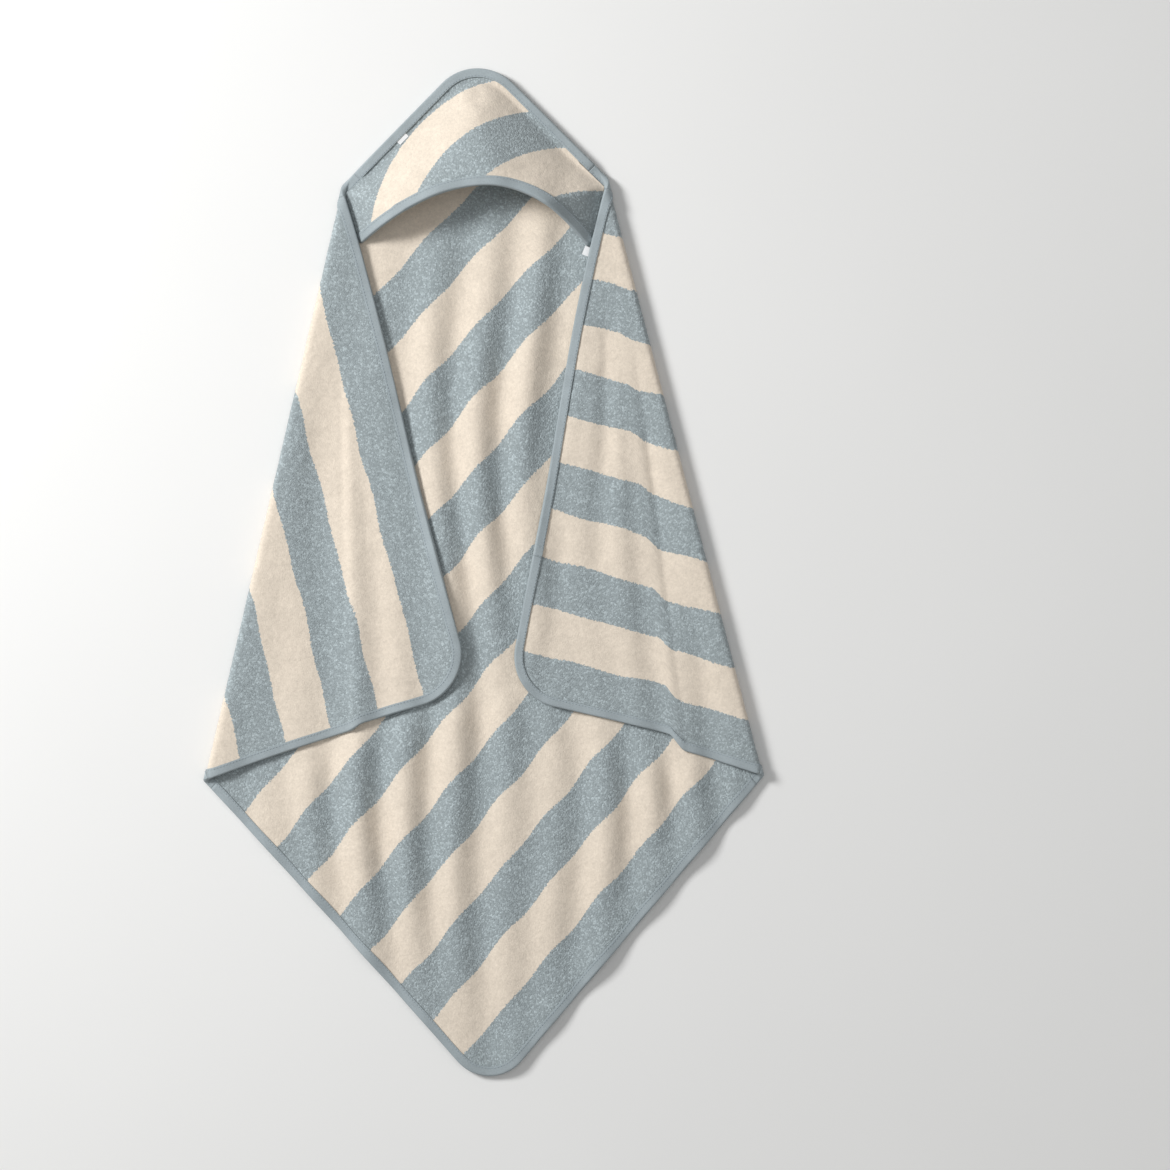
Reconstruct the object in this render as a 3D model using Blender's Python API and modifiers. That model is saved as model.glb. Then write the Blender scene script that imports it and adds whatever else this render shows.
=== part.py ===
"""Hooded baby towel: a striped terry square laid out flat, hood corner up, with both side corners folded in.

The towel is cut as a square in flat cloth coordinates (u to the right, v towards the hood tip). lay() relaxes the
cloth onto the floor plane, fold_over() turns the two side corners over their fold lines, and every sheet, tape and
thread is built on those same surfaces. Metres, +Z up, +Y towards the hood tip, origin under the middle.
"""
import math

import bpy
from mathutils import Matrix, Vector
from mathutils.geometry import delaunay_2d_cdt

# ---------------------------------------------------------------- driving dimensions
TOWEL_SIDE = 0.762            # side of the cut square, a 30 inch towel
CORNER_RADIUS = 0.052         # rounding of its four corners
SHEET_THICKNESS = 0.003       # terry cloth
TAPE_WIDTH = 0.0085           # binding tape on each face of the cloth
TAPE_THICKNESS = 0.0008
THREAD_RADIUS = 0.0004
STITCH_INSET = 0.0018         # the stitch row, in from the tape's inner edge
CLEARANCE = 0.0003            # between pieces that touch
TAPE_CLEARANCE = 0.0007       # between the pile of the cloth and the tape over it
TAPE_BEND_EASE = 0.0011       # added to it beside a fold
HOOD_END_EASE = 0.0016        # and at the ends of the hood's front tape

LEFT_SHOULDER = 0.203         # sharp hood tip to the left fold, along the upper-left edge
RIGHT_SHOULDER = 0.191
LEFT_TUCK = 0.302             # sharp left corner to the left fold, along the lower-left edge
RIGHT_TUCK = 0.2945
FOLD_RADIUS = 0.0045          # middle of the cloth around each side fold
LAYER_STEP = 0.0070           # middle of the back to the middle of a wing lying on it

HOOD_LEG = 0.270              # hood seam from the sharp tip to the hood's corner
HOOD_HEIGHT = 0.048           # how far the hood stands over its seams
HOOD_SEAM_EASE = 0.004        # flat cloth between the tape and the start of the dome
HOOD_RISE_WIDTH = 0.085       # from the seam to where the hood is at its full height
HOOD_FULLNESS = 2.2           # higher is steeper beside the seams and flatter on top
HOOD_EASE_SHARE = 0.06        # how gently the dome leaves its seam
HOOD_ARC_RISE = 0.059         # how far the hood's front edge curves back towards the tip
HOOD_ARC_SKEW = 0.25          # the arc is fuller on its right
HOOD_SIDE_GAP = 0.0015        # the hood's corner to the wing tape beside it

RELAX_START = 0.10            # below the sharp tip, where the cloth begins to relax and drape
RELAX_LENGTH = 0.30
BIAS_STRETCH = 0.048          # the cloth hangs longer on the bias
LEFT_NARROWING = 0.050        # and narrower, part of it taken up by the drape
RIGHT_NARROWING = 0.079
LEFT_LOWER_NARROWING = 0.0215    # added below the side corners
RIGHT_LOWER_NARROWING = 0.040
LOWER_START = 0.50            # below the sharp tip, where that begins
LOWER_LENGTH = 0.22
SIDE_DROOP = 0.014
LEAN = 0.0136                 # the bottom corner lies this far right of the hood tip
DRAPE_HEIGHT = 0.006          # crest to trough of the soft folds
DRAPE_PITCH = 0.095

LABEL_LENGTH = 0.013
LABEL_WIDTH = 0.007
LABEL_THICKNESS = 0.0006
LABEL_CURVE_LIFT = 0.0014     # a flat label over the curve of the hood
LABEL_FROM_TIP = 0.118        # along the left seam
JOIN_LENGTH = 0.012           # overlap where the tape's two ends meet on the right wing
JOIN_FROM_SHOULDER = 0.415

STATION_STEP = 0.020          # mesh spacing along the edges
CORNER_STEPS = 6
HOOD_FRONT_STEPS = 24
CELL_X = 0.020                # mesh spacing inside the sheets
CELL_Y = 0.038
FOLD_CELL = 0.026
HOOD_CELL = 0.016

# ---------------------------------------------------------------- values that follow
HALF_DIAGONAL = TOWEL_SIDE / math.sqrt(2)
PERIMETER = 4 * TOWEL_SIDE - (8 - 2 * math.pi) * CORNER_RADIUS
QUARTER = PERIMETER / 4
CORNER_ARC = CORNER_RADIUS * math.pi / 2
CORNER_SKIP = CORNER_RADIUS - CORNER_ARC / 2    # sharp-corner distance less distance walked around the arc
TAPE_REACH = SHEET_THICKNESS / 2 + TAPE_CLEARANCE + TAPE_THICKNESS / 2    # cloth's middle to tape's middle
EDGE_LEVEL = TAPE_REACH + TAPE_THICKNESS / 2 + 2 * CLEARANCE    # middle of the cloth where its tape is down
SHEET_LEVEL = SHEET_THICKNESS / 2               # middle of the cloth where it lies on the floor
HOOD_STEP = SHEET_THICKNESS + CLEARANCE         # middle of the back to the middle of the hood at the seam
BEND_HALF = FOLD_RADIUS * math.pi / 2           # cloth from the start of the bend to its outermost line
AXIS_LEVEL = (SHEET_LEVEL + EDGE_LEVEL + DRAPE_HEIGHT + LAYER_STEP) / 2    # an opened wing lies on the floor
FOLD_GAP = 5 * CLEARANCE
BEND_SHARES = (0.16, 0.36, 0.57, 0.78, 1.0)                  # rows of points through each quarter bend
NEAR_SHARES = (1.9, 3.4)                        # more stations along the edges beside it
HOOD_SHORT_OF_FOLD = 3.0                        # half bends from the fold to the end of the hood's seam
TAPE_OVER_HOOD = 2.0                            # and to where the top tape comes down to the back alone
TAPE_SHORT_OF_FOLD = 1.5                        # and to the tape's ends
FOLD_BLEND = 0.050                              # width over which the cloth rises to meet the fold
EDGE_BLEND = 0.030

TERRY_BLUE = (0.33, 0.42, 0.48, 1.0)
TERRY_CREAM = (0.80, 0.71, 0.60, 1.0)
TAPE_GREY = (0.36, 0.42, 0.45, 1.0)
THREAD_GREY = (0.30, 0.36, 0.39, 1.0)
LABEL_WHITE = (0.85, 0.86, 0.88, 1.0)


# ---------------------------------------------------------------- the flat cloth
def smooth(value):
    """0 below 0, 1 above 1, and a smooth step between."""
    value = min(max(value, 0.0), 1.0)
    return value * value * (3 - 2 * value)


def edge_point(walked, inset=0.0):
    """Flat point at a distance walked along the towel's edge: tip, left corner, bottom, right corner, tip."""
    side, along = divmod(walked % PERIMETER, QUARTER)
    half_arc = CORNER_ARC / 2
    straight_end = QUARTER - half_arc
    if along < half_arc:
        turn = along / CORNER_RADIUS
        centre_u, centre_v = 0.0, HALF_DIAGONAL - CORNER_RADIUS * math.sqrt(2)
    elif along > straight_end:
        turn = math.pi / 4 + (along - straight_end) / CORNER_RADIUS
        centre_u, centre_v = -(HALF_DIAGONAL - CORNER_RADIUS * math.sqrt(2)), 0.0
    else:
        turn = math.pi / 4
        share = (along - half_arc) / (straight_end - half_arc)
        reach = HALF_DIAGONAL - CORNER_RADIUS * math.sqrt(2)
        centre_u, centre_v = -reach * share, reach * (1 - share)
    radius = CORNER_RADIUS - inset
    u = centre_u - radius * math.sin(turn)
    v = centre_v + radius * math.cos(turn)
    for _ in range(int(side)):
        u, v = -v, u
    return u, v


def edge_depth(flat):
    """How far a flat point is inside the rounded square."""
    u, v = flat
    reach = TOWEL_SIDE / 2 - CORNER_RADIUS
    past_p = abs(u + v) / math.sqrt(2) - reach
    past_q = abs(u - v) / math.sqrt(2) - reach
    if past_p > 0 and past_q > 0:
        return CORNER_RADIUS - math.hypot(past_p, past_q)
    return CORNER_RADIUS - max(past_p, past_q)


def walk_from_tip(sharp_distance):
    """Distance walked from the rounded tip, for a point this far from the sharp tip."""
    return sharp_distance - CORNER_SKIP


# ---------------------------------------------------------------- the cloth laid out on the floor
def relax(depth):
    return smooth((depth - RELAX_START) / RELAX_LENGTH)


def relax_sum(depth):
    """The integral of relax from the tip down to a depth."""
    share = min(max((depth - RELAX_START) / RELAX_LENGTH, 0.0), 1.0)
    beyond = max(depth - RELAX_START - RELAX_LENGTH, 0.0)
    return RELAX_LENGTH * (share**3 - share**4 / 2) + beyond


def lay(flat):
    """Where a flat point lies before the side corners are folded in."""
    u, v = flat
    depth = HALF_DIAGONAL - v
    across = (u / HALF_DIAGONAL + 1) / 2
    upper = LEFT_NARROWING + (RIGHT_NARROWING - LEFT_NARROWING) * across
    lower = LEFT_LOWER_NARROWING + (RIGHT_LOWER_NARROWING - LEFT_LOWER_NARROWING) * across
    narrowing = upper * relax(depth) + lower * smooth((depth - LOWER_START) / LOWER_LENGTH)
    x = u * (1 - narrowing) + LEAN * (depth / (2 * HALF_DIAGONAL) - 0.5)
    y = v - BIAS_STRETCH * relax_sum(depth) - SIDE_DROOP * (u / HALF_DIAGONAL) ** 2
    return Vector((x, y)) + MIDDLE_SHIFT


def unlay(point):
    """The flat point that lies here, found by repeated correction."""
    u, v = point
    for _ in range(12):
        error = Vector(point) - lay((u, v))
        u += error.x
        v += error.y
    return u, v


MIDDLE_SHIFT = Vector((0.0, 0.0))
LEFT_FOLD_TOP = walk_from_tip(LEFT_SHOULDER)
LEFT_FOLD_END = QUARTER + walk_from_tip(LEFT_TUCK)
RIGHT_FOLD_END = 3 * QUARTER - walk_from_tip(RIGHT_TUCK)
RIGHT_FOLD_TOP = PERIMETER - walk_from_tip(RIGHT_SHOULDER)


def middle_shift():
    """Puts the origin under the middle of the folded towel."""
    left = lay(edge_point(LEFT_FOLD_END)).x
    right = lay(edge_point(RIGHT_FOLD_END)).x
    top = lay(edge_point(0.0)).y
    bottom = lay(edge_point(2 * QUARTER)).y
    return Vector((-(left + right) / 2, -(top + bottom) / 2))


MIDDLE_SHIFT = middle_shift()


class Fold:
    """A side fold: its outermost line on the floor plan, and the outward direction."""

    def __init__(self, top_walk, end_walk):
        self.top = lay(edge_point(top_walk))
        self.end = lay(edge_point(end_walk))
        self.along = (self.top - self.end).normalized()
        side = 1 if self.top.x > 0 else -1
        self.outward = Vector((self.along.y, -self.along.x)) * side

    def distance(self, point):
        """Cloth distance past the middle of the bend, negative on the back's side."""
        return (point - self.top).dot(self.outward) - (BEND_HALF - FOLD_RADIUS)


LEFT_FOLD = Fold(LEFT_FOLD_TOP, LEFT_FOLD_END)
RIGHT_FOLD = Fold(RIGHT_FOLD_TOP, RIGHT_FOLD_END)
FOLDS = (LEFT_FOLD, RIGHT_FOLD)


def back_level(point):
    """Height of the middle of the back's cloth over a place on the floor."""
    u, v = unlay(point)
    from_tape = edge_depth((u, v)) - TAPE_WIDTH
    level = SHEET_LEVEL + (EDGE_LEVEL - SHEET_LEVEL) * smooth(1 - from_tape / EDGE_BLEND)
    crest = (1 - math.cos(2 * math.pi * u / DRAPE_PITCH)) / 2
    level += DRAPE_HEIGHT * crest * relax(HALF_DIAGONAL - v)
    for fold in FOLDS:
        inside = -(point - fold.top).dot(fold.outward)
        near = smooth(1 - inside / FOLD_BLEND)
        level += (AXIS_LEVEL - FOLD_RADIUS - level) * near
    return level


def fold_over(point):
    """Middle of the cloth in space, for a point of the laid cloth before folding."""
    point = Vector(point)
    fold = max(FOLDS, key=lambda one: one.distance(point))
    past = fold.distance(point)
    if past <= -BEND_HALF:
        return Vector((point.x, point.y, back_level(point)))
    line = point - fold.outward * (point - fold.top).dot(fold.outward)
    if past < BEND_HALF:
        turn = past / FOLD_RADIUS
        place = line + fold.outward * (FOLD_RADIUS * (math.cos(turn) - 1))
        return Vector((place.x, place.y, AXIS_LEVEL + FOLD_RADIUS * math.sin(turn)))
    place = line - fold.outward * (FOLD_RADIUS + past - BEND_HALF)
    near = smooth(1 - (past - BEND_HALF) / FOLD_BLEND)
    step = LAYER_STEP + (2 * FOLD_RADIUS - LAYER_STEP) * near
    return Vector((place.x, place.y, back_level(place) + step))


def normal_of(surface, point):
    """Unit normal of a surface function, upward on the back."""
    small = 0.0002
    east = surface((point[0] + small, point[1])) - surface((point[0] - small, point[1]))
    north = surface((point[0], point[1] + small)) - surface((point[0], point[1] - small))
    return east.cross(north).normalized()


# ---------------------------------------------------------------- stations along the towel's edge
def crossing(fold, target, low, high):
    """The distance walked where the edge is this far past a fold."""
    rising = fold.distance(lay(edge_point(high))) > fold.distance(lay(edge_point(low)))
    for _ in range(50):
        middle = (low + high) / 2
        if (fold.distance(lay(edge_point(middle))) < target) == rising:
            low = middle
        else:
            high = middle
    return (low + high) / 2


def bend_walks(fold, near_walk, sign):
    """Distances walked where the edge passes through the bend, on the back's side (-1) or the wing's (+1)."""
    reach = 10 * BEND_HALF
    targets = [sign * share * BEND_HALF for share in BEND_SHARES + NEAR_SHARES]
    targets.append(sign * FOLD_GAP / 2)
    return [crossing(fold, target, near_walk - reach, near_walk + reach) for target in targets]


def corner_walks(corner):
    """Distances walked around one rounded corner."""
    start = corner * QUARTER - CORNER_ARC / 2
    return [start + CORNER_ARC * step / CORNER_STEPS for step in range(CORNER_STEPS + 1)]


def stretch_walks(start_bend, end_bend, corner):
    """Stations from one fold to the next, round a corner of the towel."""
    fixed = sorted(start_bend + end_bend + corner_walks(corner))
    first, last = min(start_bend + end_bend), max(start_bend + end_bend)
    fixed = [walk for walk in fixed if first <= walk <= last]
    walks = [fixed[0]]
    for walk in fixed[1:]:
        pieces = max(1, round((walk - walks[-1]) / STATION_STEP))
        begin = walks[-1]
        walks += [begin + (walk - begin) * step / pieces for step in range(1, pieces + 1)]
    return walks


def inner_point(walk, inset):
    """Laid point inside the edge, slid along it near a fold so that the tape ends along the fold."""
    outer = lay(edge_point(walk))
    fold = LEFT_FOLD if outer.x < 0 else RIGHT_FOLD
    straight = lay(edge_point(walk, inset))
    past = fold.distance(outer)
    short = past - fold.distance(straight)
    ahead = fold.distance(lay(edge_point(walk + 0.001)))
    rate = (ahead - past) / 0.001
    near = 1 - smooth((abs(past) - FOLD_GAP) / (3 * TAPE_WIDTH))
    slide = short * near / rate if near > 0 else 0.0
    return lay(edge_point(walk + slide, inset))


LEFT_TOP_BACK = bend_walks(LEFT_FOLD, LEFT_FOLD_TOP, -1)
LEFT_TOP_WING = bend_walks(LEFT_FOLD, LEFT_FOLD_TOP, 1)
LEFT_END_WING = bend_walks(LEFT_FOLD, LEFT_FOLD_END, 1)
LEFT_END_BACK = bend_walks(LEFT_FOLD, LEFT_FOLD_END, -1)
RIGHT_END_BACK = bend_walks(RIGHT_FOLD, RIGHT_FOLD_END, -1)
RIGHT_END_WING = bend_walks(RIGHT_FOLD, RIGHT_FOLD_END, 1)
RIGHT_TOP_WING = bend_walks(RIGHT_FOLD, RIGHT_FOLD_TOP, 1)
RIGHT_TOP_BACK = bend_walks(RIGHT_FOLD, RIGHT_FOLD_TOP, -1)

TOP_WALKS = stretch_walks([walk - PERIMETER for walk in RIGHT_TOP_BACK], LEFT_TOP_BACK, 0)
LEFT_WALKS = stretch_walks(LEFT_TOP_WING, LEFT_END_WING, 1)
BOTTOM_WALKS = stretch_walks(LEFT_END_BACK, RIGHT_END_BACK, 2)
RIGHT_WALKS = stretch_walks(RIGHT_END_WING, RIGHT_TOP_WING, 3)


# ---------------------------------------------------------------- the hood
def hood_side(fold_walk, leg_walk):
    """The hood's free side below a shoulder, on the floor plan, just clear of the folded wing's tape."""
    points = []
    steps = 3
    for step in range(1, steps + 1):
        walk = fold_walk + (leg_walk - fold_walk) * (0.35 + 0.65 * step / steps)
        on_wing = fold_over(lay(edge_point(walk)))
        beside = 1 if on_wing.x < 0 else -1
        points.append(Vector((on_wing.x + beside * (EDGE_LEVEL + HOOD_SIDE_GAP), on_wing.y)))
    return points


def fold_shares(walk):
    """Half bends from a place on the edge to the nearer fold."""
    return min(abs(fold.distance(lay(edge_point(walk)))) for fold in FOLDS) / BEND_HALF


def clear_of_folds(walk, shares):
    """Whether a place on the edge is this many half bends short of both folds."""
    return max(fold.distance(lay(edge_point(walk))) for fold in FOLDS) < -shares * BEND_HALF


HOOD_TOP_WALKS = [walk for walk in TOP_WALKS if clear_of_folds(walk, HOOD_SHORT_OF_FOLD)]
LEFT_HOOD_SIDE = hood_side(LEFT_FOLD_TOP, walk_from_tip(HOOD_LEG))
RIGHT_HOOD_SIDE = hood_side(RIGHT_FOLD_TOP, PERIMETER - walk_from_tip(HOOD_LEG))


def hood_front(share, inset=0.0):
    """The hood's front edge on the floor plan, from its left end (0) to its right end (1)."""
    left, right = LEFT_HOOD_SIDE[-1], RIGHT_HOOD_SIDE[-1]
    rise = 4 * share * (1 - share) * (1 + HOOD_ARC_SKEW * (2 * share - 1))
    slope = 4 * (1 - 2 * share + HOOD_ARC_SKEW * (6 * share * (1 - share) - 1)) * HOOD_ARC_RISE
    inward = Vector((-slope, right.x - left.x)).normalized()
    place = left.lerp(right, share)
    return Vector((place.x, place.y + HOOD_ARC_RISE * rise)) + inward * inset


def inside_outline(point, outline):
    """Whether a plan point is inside a closed outline, by counting the crossings of a ray."""
    inside = False
    for start, end in zip(outline, outline[1:] + outline[:1]):
        if (start.y > point.y) != (end.y > point.y):
            reach = start.x + (point.y - start.y) / (end.y - start.y) * (end.x - start.x)
            inside ^= reach > point.x
    return inside


def distance_to_path(point, path):
    """Shortest distance from a point to a chain of straight lines."""
    best = 1.0
    for start, end in zip(path, path[1:]):
        run = end - start
        share = min(max((point - start).dot(run) / run.length_squared, 0.0), 1.0)
        best = min(best, (point - start - run * share).length)
    return best


def seam_paths():
    """The seam line inside the tape, left and right of the tip, with the hood's free sides."""
    inset = TAPE_WIDTH + HOOD_SEAM_EASE
    left = [inner_point(walk, inset) for walk in HOOD_TOP_WALKS if walk >= 0] + LEFT_HOOD_SIDE
    right = [inner_point(walk, inset) for walk in reversed(HOOD_TOP_WALKS) if walk <= 0] + RIGHT_HOOD_SIDE
    return left, right


SEAM_PATHS = seam_paths()


def hood_surface(point):
    """Middle of the hood's cloth: flat along its seams and domed inside them."""
    point = Vector(point)
    left, right = (max(distance_to_path(point, path), 1e-5) for path in SEAM_PATHS)
    inside = inside_outline(point, SEAM_PATHS[1][::-1] + SEAM_PATHS[0])
    share = (left**-4 + right**-4) ** -0.25 / HOOD_RISE_WIDTH if inside else 0.0
    share = min(share * share / (share + HOOD_EASE_SHARE), 1.0)
    rise = HOOD_HEIGHT * (1 - (1 - share) ** HOOD_FULLNESS)
    return Vector((point.x, point.y, back_level(point) + HOOD_STEP + rise))


# ---------------------------------------------------------------- building
def linked(name, data, collection, material):
    """A new object with its own material, in the towel's collection."""
    thing = bpy.data.objects.new(name, data)
    collection.objects.link(thing)
    data.materials.append(material)
    return thing


def plain_material(name, colour, roughness):
    material = bpy.data.materials.new(name)
    material.use_nodes = True
    shader = material.node_tree.nodes["Principled BSDF"]
    shader.inputs["Base Color"].default_value = colour
    shader.inputs["Roughness"].default_value = roughness
    shader.inputs["Metallic"].default_value = 0.0
    return material


def thicken(thing, thickness):
    solid = thing.modifiers.new("thickness", "SOLIDIFY")
    solid.thickness = thickness
    solid.offset = 0.0
    solid.use_even_offset = True


def filling(outline, chains, cell_x, cell_y):
    """Staggered plan points inside an outline, clear of the outline and of the chains."""
    low_x, high_x = min(p.x for p in outline), max(p.x for p in outline)
    low_y, high_y = min(p.y for p in outline), max(p.y for p in outline)
    points = []
    for row in range(int((high_y - low_y) / cell_y) + 2):
        for column in range(int((high_x - low_x) / cell_x) + 2):
            point = Vector((low_x + (column + 0.5 * (row % 2)) * cell_x, low_y + row * cell_y))
            if not inside_outline(point, outline):
                continue
            lines = [outline + outline[:1]] + chains
            if min(distance_to_path(point, line) for line in lines) > 0.5 * cell_x:
                points.append(point)
    return points


def cut_sheet(name, outline, chains, surface, collection, material, cell=(CELL_X, CELL_Y)):
    """A sheet of cloth cut to a plan outline and laid on a surface."""
    points = list(outline)
    edges = [(index, (index + 1) % len(outline)) for index in range(len(outline))]
    for chain in chains:
        first = len(points)
        points += chain
        edges += [(first + step, first + step + 1) for step in range(len(chain) - 1)]
    points += filling(outline, chains, *cell)
    plan, _, faces, *_ = delaunay_2d_cdt(points, edges, [], 1, 1e-6)
    mesh = bpy.data.meshes.new(name)
    mesh.from_pydata([surface(point) for point in plan], [], faces)
    mesh.shade_smooth()
    sheet = linked(name, mesh, collection, material)
    thicken(sheet, SHEET_THICKNESS)
    return sheet


def edge_frame(outer, inner, surface):
    """Edge and inset points in space, their normals, and the direction out over the edge."""
    edge, inset = surface(outer), surface(inner)
    return edge, inset, normal_of(surface, outer), normal_of(surface, inner), (edge - inset).normalized()


def tape_profile(frame, up, down):
    """The tape's folded profile at one station, from the inner edge above to the inner edge below."""
    edge, inset, edge_normal, inset_normal, outward = frame
    rim = edge + outward * (down - SHEET_THICKNESS / 2)
    above, below = rim + edge_normal * up, rim - edge_normal * down
    return [inset + inset_normal * up, above, below, inset - inset_normal * down]


def binding(name, profiles, collection, material):
    """Tape folded over an edge, through a list of profiles."""
    width = len(profiles[0])
    points = [point for profile in profiles for point in profile]
    faces = []
    for step in range(len(profiles) - 1):
        for side in range(width - 1):
            corner = step * width + side
            faces.append((corner, corner + 1, corner + width + 1, corner + width))
    mesh = bpy.data.meshes.new(name)
    mesh.from_pydata(points, [], faces)
    tape = linked(name, mesh, collection, material)
    thicken(tape, TAPE_THICKNESS)
    return tape


def stitching(name, frames, ups, collection, material):
    """A thread along a tape, on the face that shows; a negative reach puts it on the cloth's other side."""
    curve = bpy.data.curves.new(name, "CURVE")
    curve.dimensions = "3D"
    curve.bevel_depth = THREAD_RADIUS
    curve.bevel_resolution = 1
    curve.use_fill_caps = True
    spline = curve.splines.new("POLY")
    spline.points.add(len(frames) - 1)
    share = STITCH_INSET / TAPE_WIDTH
    lift = TAPE_THICKNESS / 2 + 1.5 * CLEARANCE + THREAD_RADIUS
    for point, frame, up in zip(spline.points, frames, ups):
        edge, inset, edge_normal, inset_normal, _ = frame
        normal = inset_normal.lerp(edge_normal, share)
        place = inset.lerp(edge, share) + normal * (up + math.copysign(lift, up))
        point.co = (*place, 1.0)
    return linked(name, curve, collection, material)


def frames_along(walks):
    return [edge_frame(lay(edge_point(walk)), inner_point(walk, TAPE_WIDTH), fold_over) for walk in walks]


def taped(walks):
    """The stations that carry tape: it stops where the cloth starts round a fold."""
    return [walk for walk in walks if fold_shares(walk) > TAPE_SHORT_OF_FOLD]


def tape_reach(walk):
    """Cloth's middle to tape's middle, a little more beside a fold."""
    return TAPE_REACH + TAPE_BEND_EASE * smooth(2.5 - fold_shares(walk))


def plain_profiles(walks, frames):
    return [tape_profile(frame, tape_reach(walk), tape_reach(walk)) for walk, frame in zip(walks, frames)]


def fold_chain(fold, share, walks, other_walks):
    """Plan points along a fold, between the two edges it crosses."""
    past = share * BEND_HALF if abs(share) > 0.01 else share
    start = min(walks, key=lambda walk: abs(fold.distance(lay(edge_point(walk))) - past))
    end = min(other_walks, key=lambda walk: abs(fold.distance(lay(edge_point(walk))) - past))
    first, last = inner_point(start, TAPE_WIDTH), inner_point(end, TAPE_WIDTH)
    pieces = round((last - first).length / FOLD_CELL)
    return [first.lerp(last, step / pieces) for step in range(pieces + 1)]


def tuck_chains(fold, sign, top_walks, end_walks):
    """The rows of points through one side's quarter bend, from its gap line inwards."""
    return [fold_chain(fold, sign * share, top_walks, end_walks) for share in BEND_SHARES]


def gap_line(first, last):
    """Points between two ends of a fold's cut edge, without the ends."""
    pieces = round((last - first).length / FOLD_CELL)
    return [first.lerp(last, step / pieces) for step in range(1, pieces)]


def build_back(collection):
    outer_top = [lay(edge_point(walk)) for walk in TOP_WALKS]
    outer_bottom = [lay(edge_point(walk)) for walk in BOTTOM_WALKS]
    inner_top = [inner_point(walk, TAPE_WIDTH) for walk in TOP_WALKS]
    inner_bottom = [inner_point(walk, TAPE_WIDTH) for walk in BOTTOM_WALKS]
    left_cut = [inner_top[-1]] + gap_line(inner_top[-1], inner_bottom[0]) + [inner_bottom[0]]
    right_cut = [inner_bottom[-1]] + gap_line(inner_bottom[-1], inner_top[0]) + [inner_top[0]]
    outline = outer_top + left_cut + outer_bottom + right_cut
    chains = [inner_top[1:-1], inner_bottom[1:-1]]
    chains += tuck_chains(LEFT_FOLD, -1, LEFT_TOP_BACK, LEFT_END_BACK)
    chains += tuck_chains(RIGHT_FOLD, -1, RIGHT_TOP_BACK, RIGHT_END_BACK)
    blue = plain_material("back_terry", TERRY_BLUE, 0.95)
    cut_sheet("back_panel", outline, chains, fold_over, collection, blue)


def build_wing(side, walks, fold, collection):
    outer = [lay(edge_point(walk)) for walk in walks]
    inner = [inner_point(walk, TAPE_WIDTH) for walk in walks]
    cut = [inner[-1]] + gap_line(inner[-1], inner[0]) + [inner[0]]
    if fold is LEFT_FOLD:
        tops, ends = LEFT_TOP_WING, LEFT_END_WING
    else:
        tops, ends = RIGHT_TOP_WING, RIGHT_END_WING
    chains = [inner[1:-1]] + tuck_chains(fold, 1, tops, ends)
    cream = plain_material(f"{side}_wing_terry", TERRY_CREAM, 0.95)
    cut_sheet(f"{side}_wing_panel", outer + cut, chains, fold_over, collection, cream)
    walks = taped(walks)
    frames = frames_along(walks)
    tape = plain_material(f"{side}_wing_tape", TAPE_GREY, 0.8)
    thread = plain_material(f"{side}_wing_thread", THREAD_GREY, 0.7)
    binding(f"{side}_wing_binding", plain_profiles(walks, frames), collection, tape)
    stitching(f"{side}_wing_stitching", frames, [-tape_reach(walk) for walk in walks], collection, thread)
    return frames


def build_bottom_edge(collection):
    walks = taped(BOTTOM_WALKS)
    frames = frames_along(walks)
    tape = plain_material("bottom_tape", TAPE_GREY, 0.8)
    thread = plain_material("bottom_thread", THREAD_GREY, 0.7)
    binding("bottom_binding", plain_profiles(walks, frames), collection, tape)
    stitching("bottom_stitching", frames, [tape_reach(walk) for walk in walks], collection, thread)


def build_top_edge(collection):
    """The tape that closes the towel's edge and the hood's together."""
    walks = taped(TOP_WALKS)
    frames = frames_along(walks)
    ups = [tape_reach(walk) + (HOOD_STEP if clear_of_folds(walk, TAPE_OVER_HOOD) else 0.0) for walk in walks]
    tape = plain_material("top_tape", TAPE_GREY, 0.8)
    thread = plain_material("top_thread", THREAD_GREY, 0.7)
    profiles = [tape_profile(frame, up, tape_reach(walk)) for walk, frame, up in zip(walks, frames, ups)]
    binding("top_binding", profiles, collection, tape)
    stitching("top_stitching", frames, ups, collection, thread)


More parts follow.
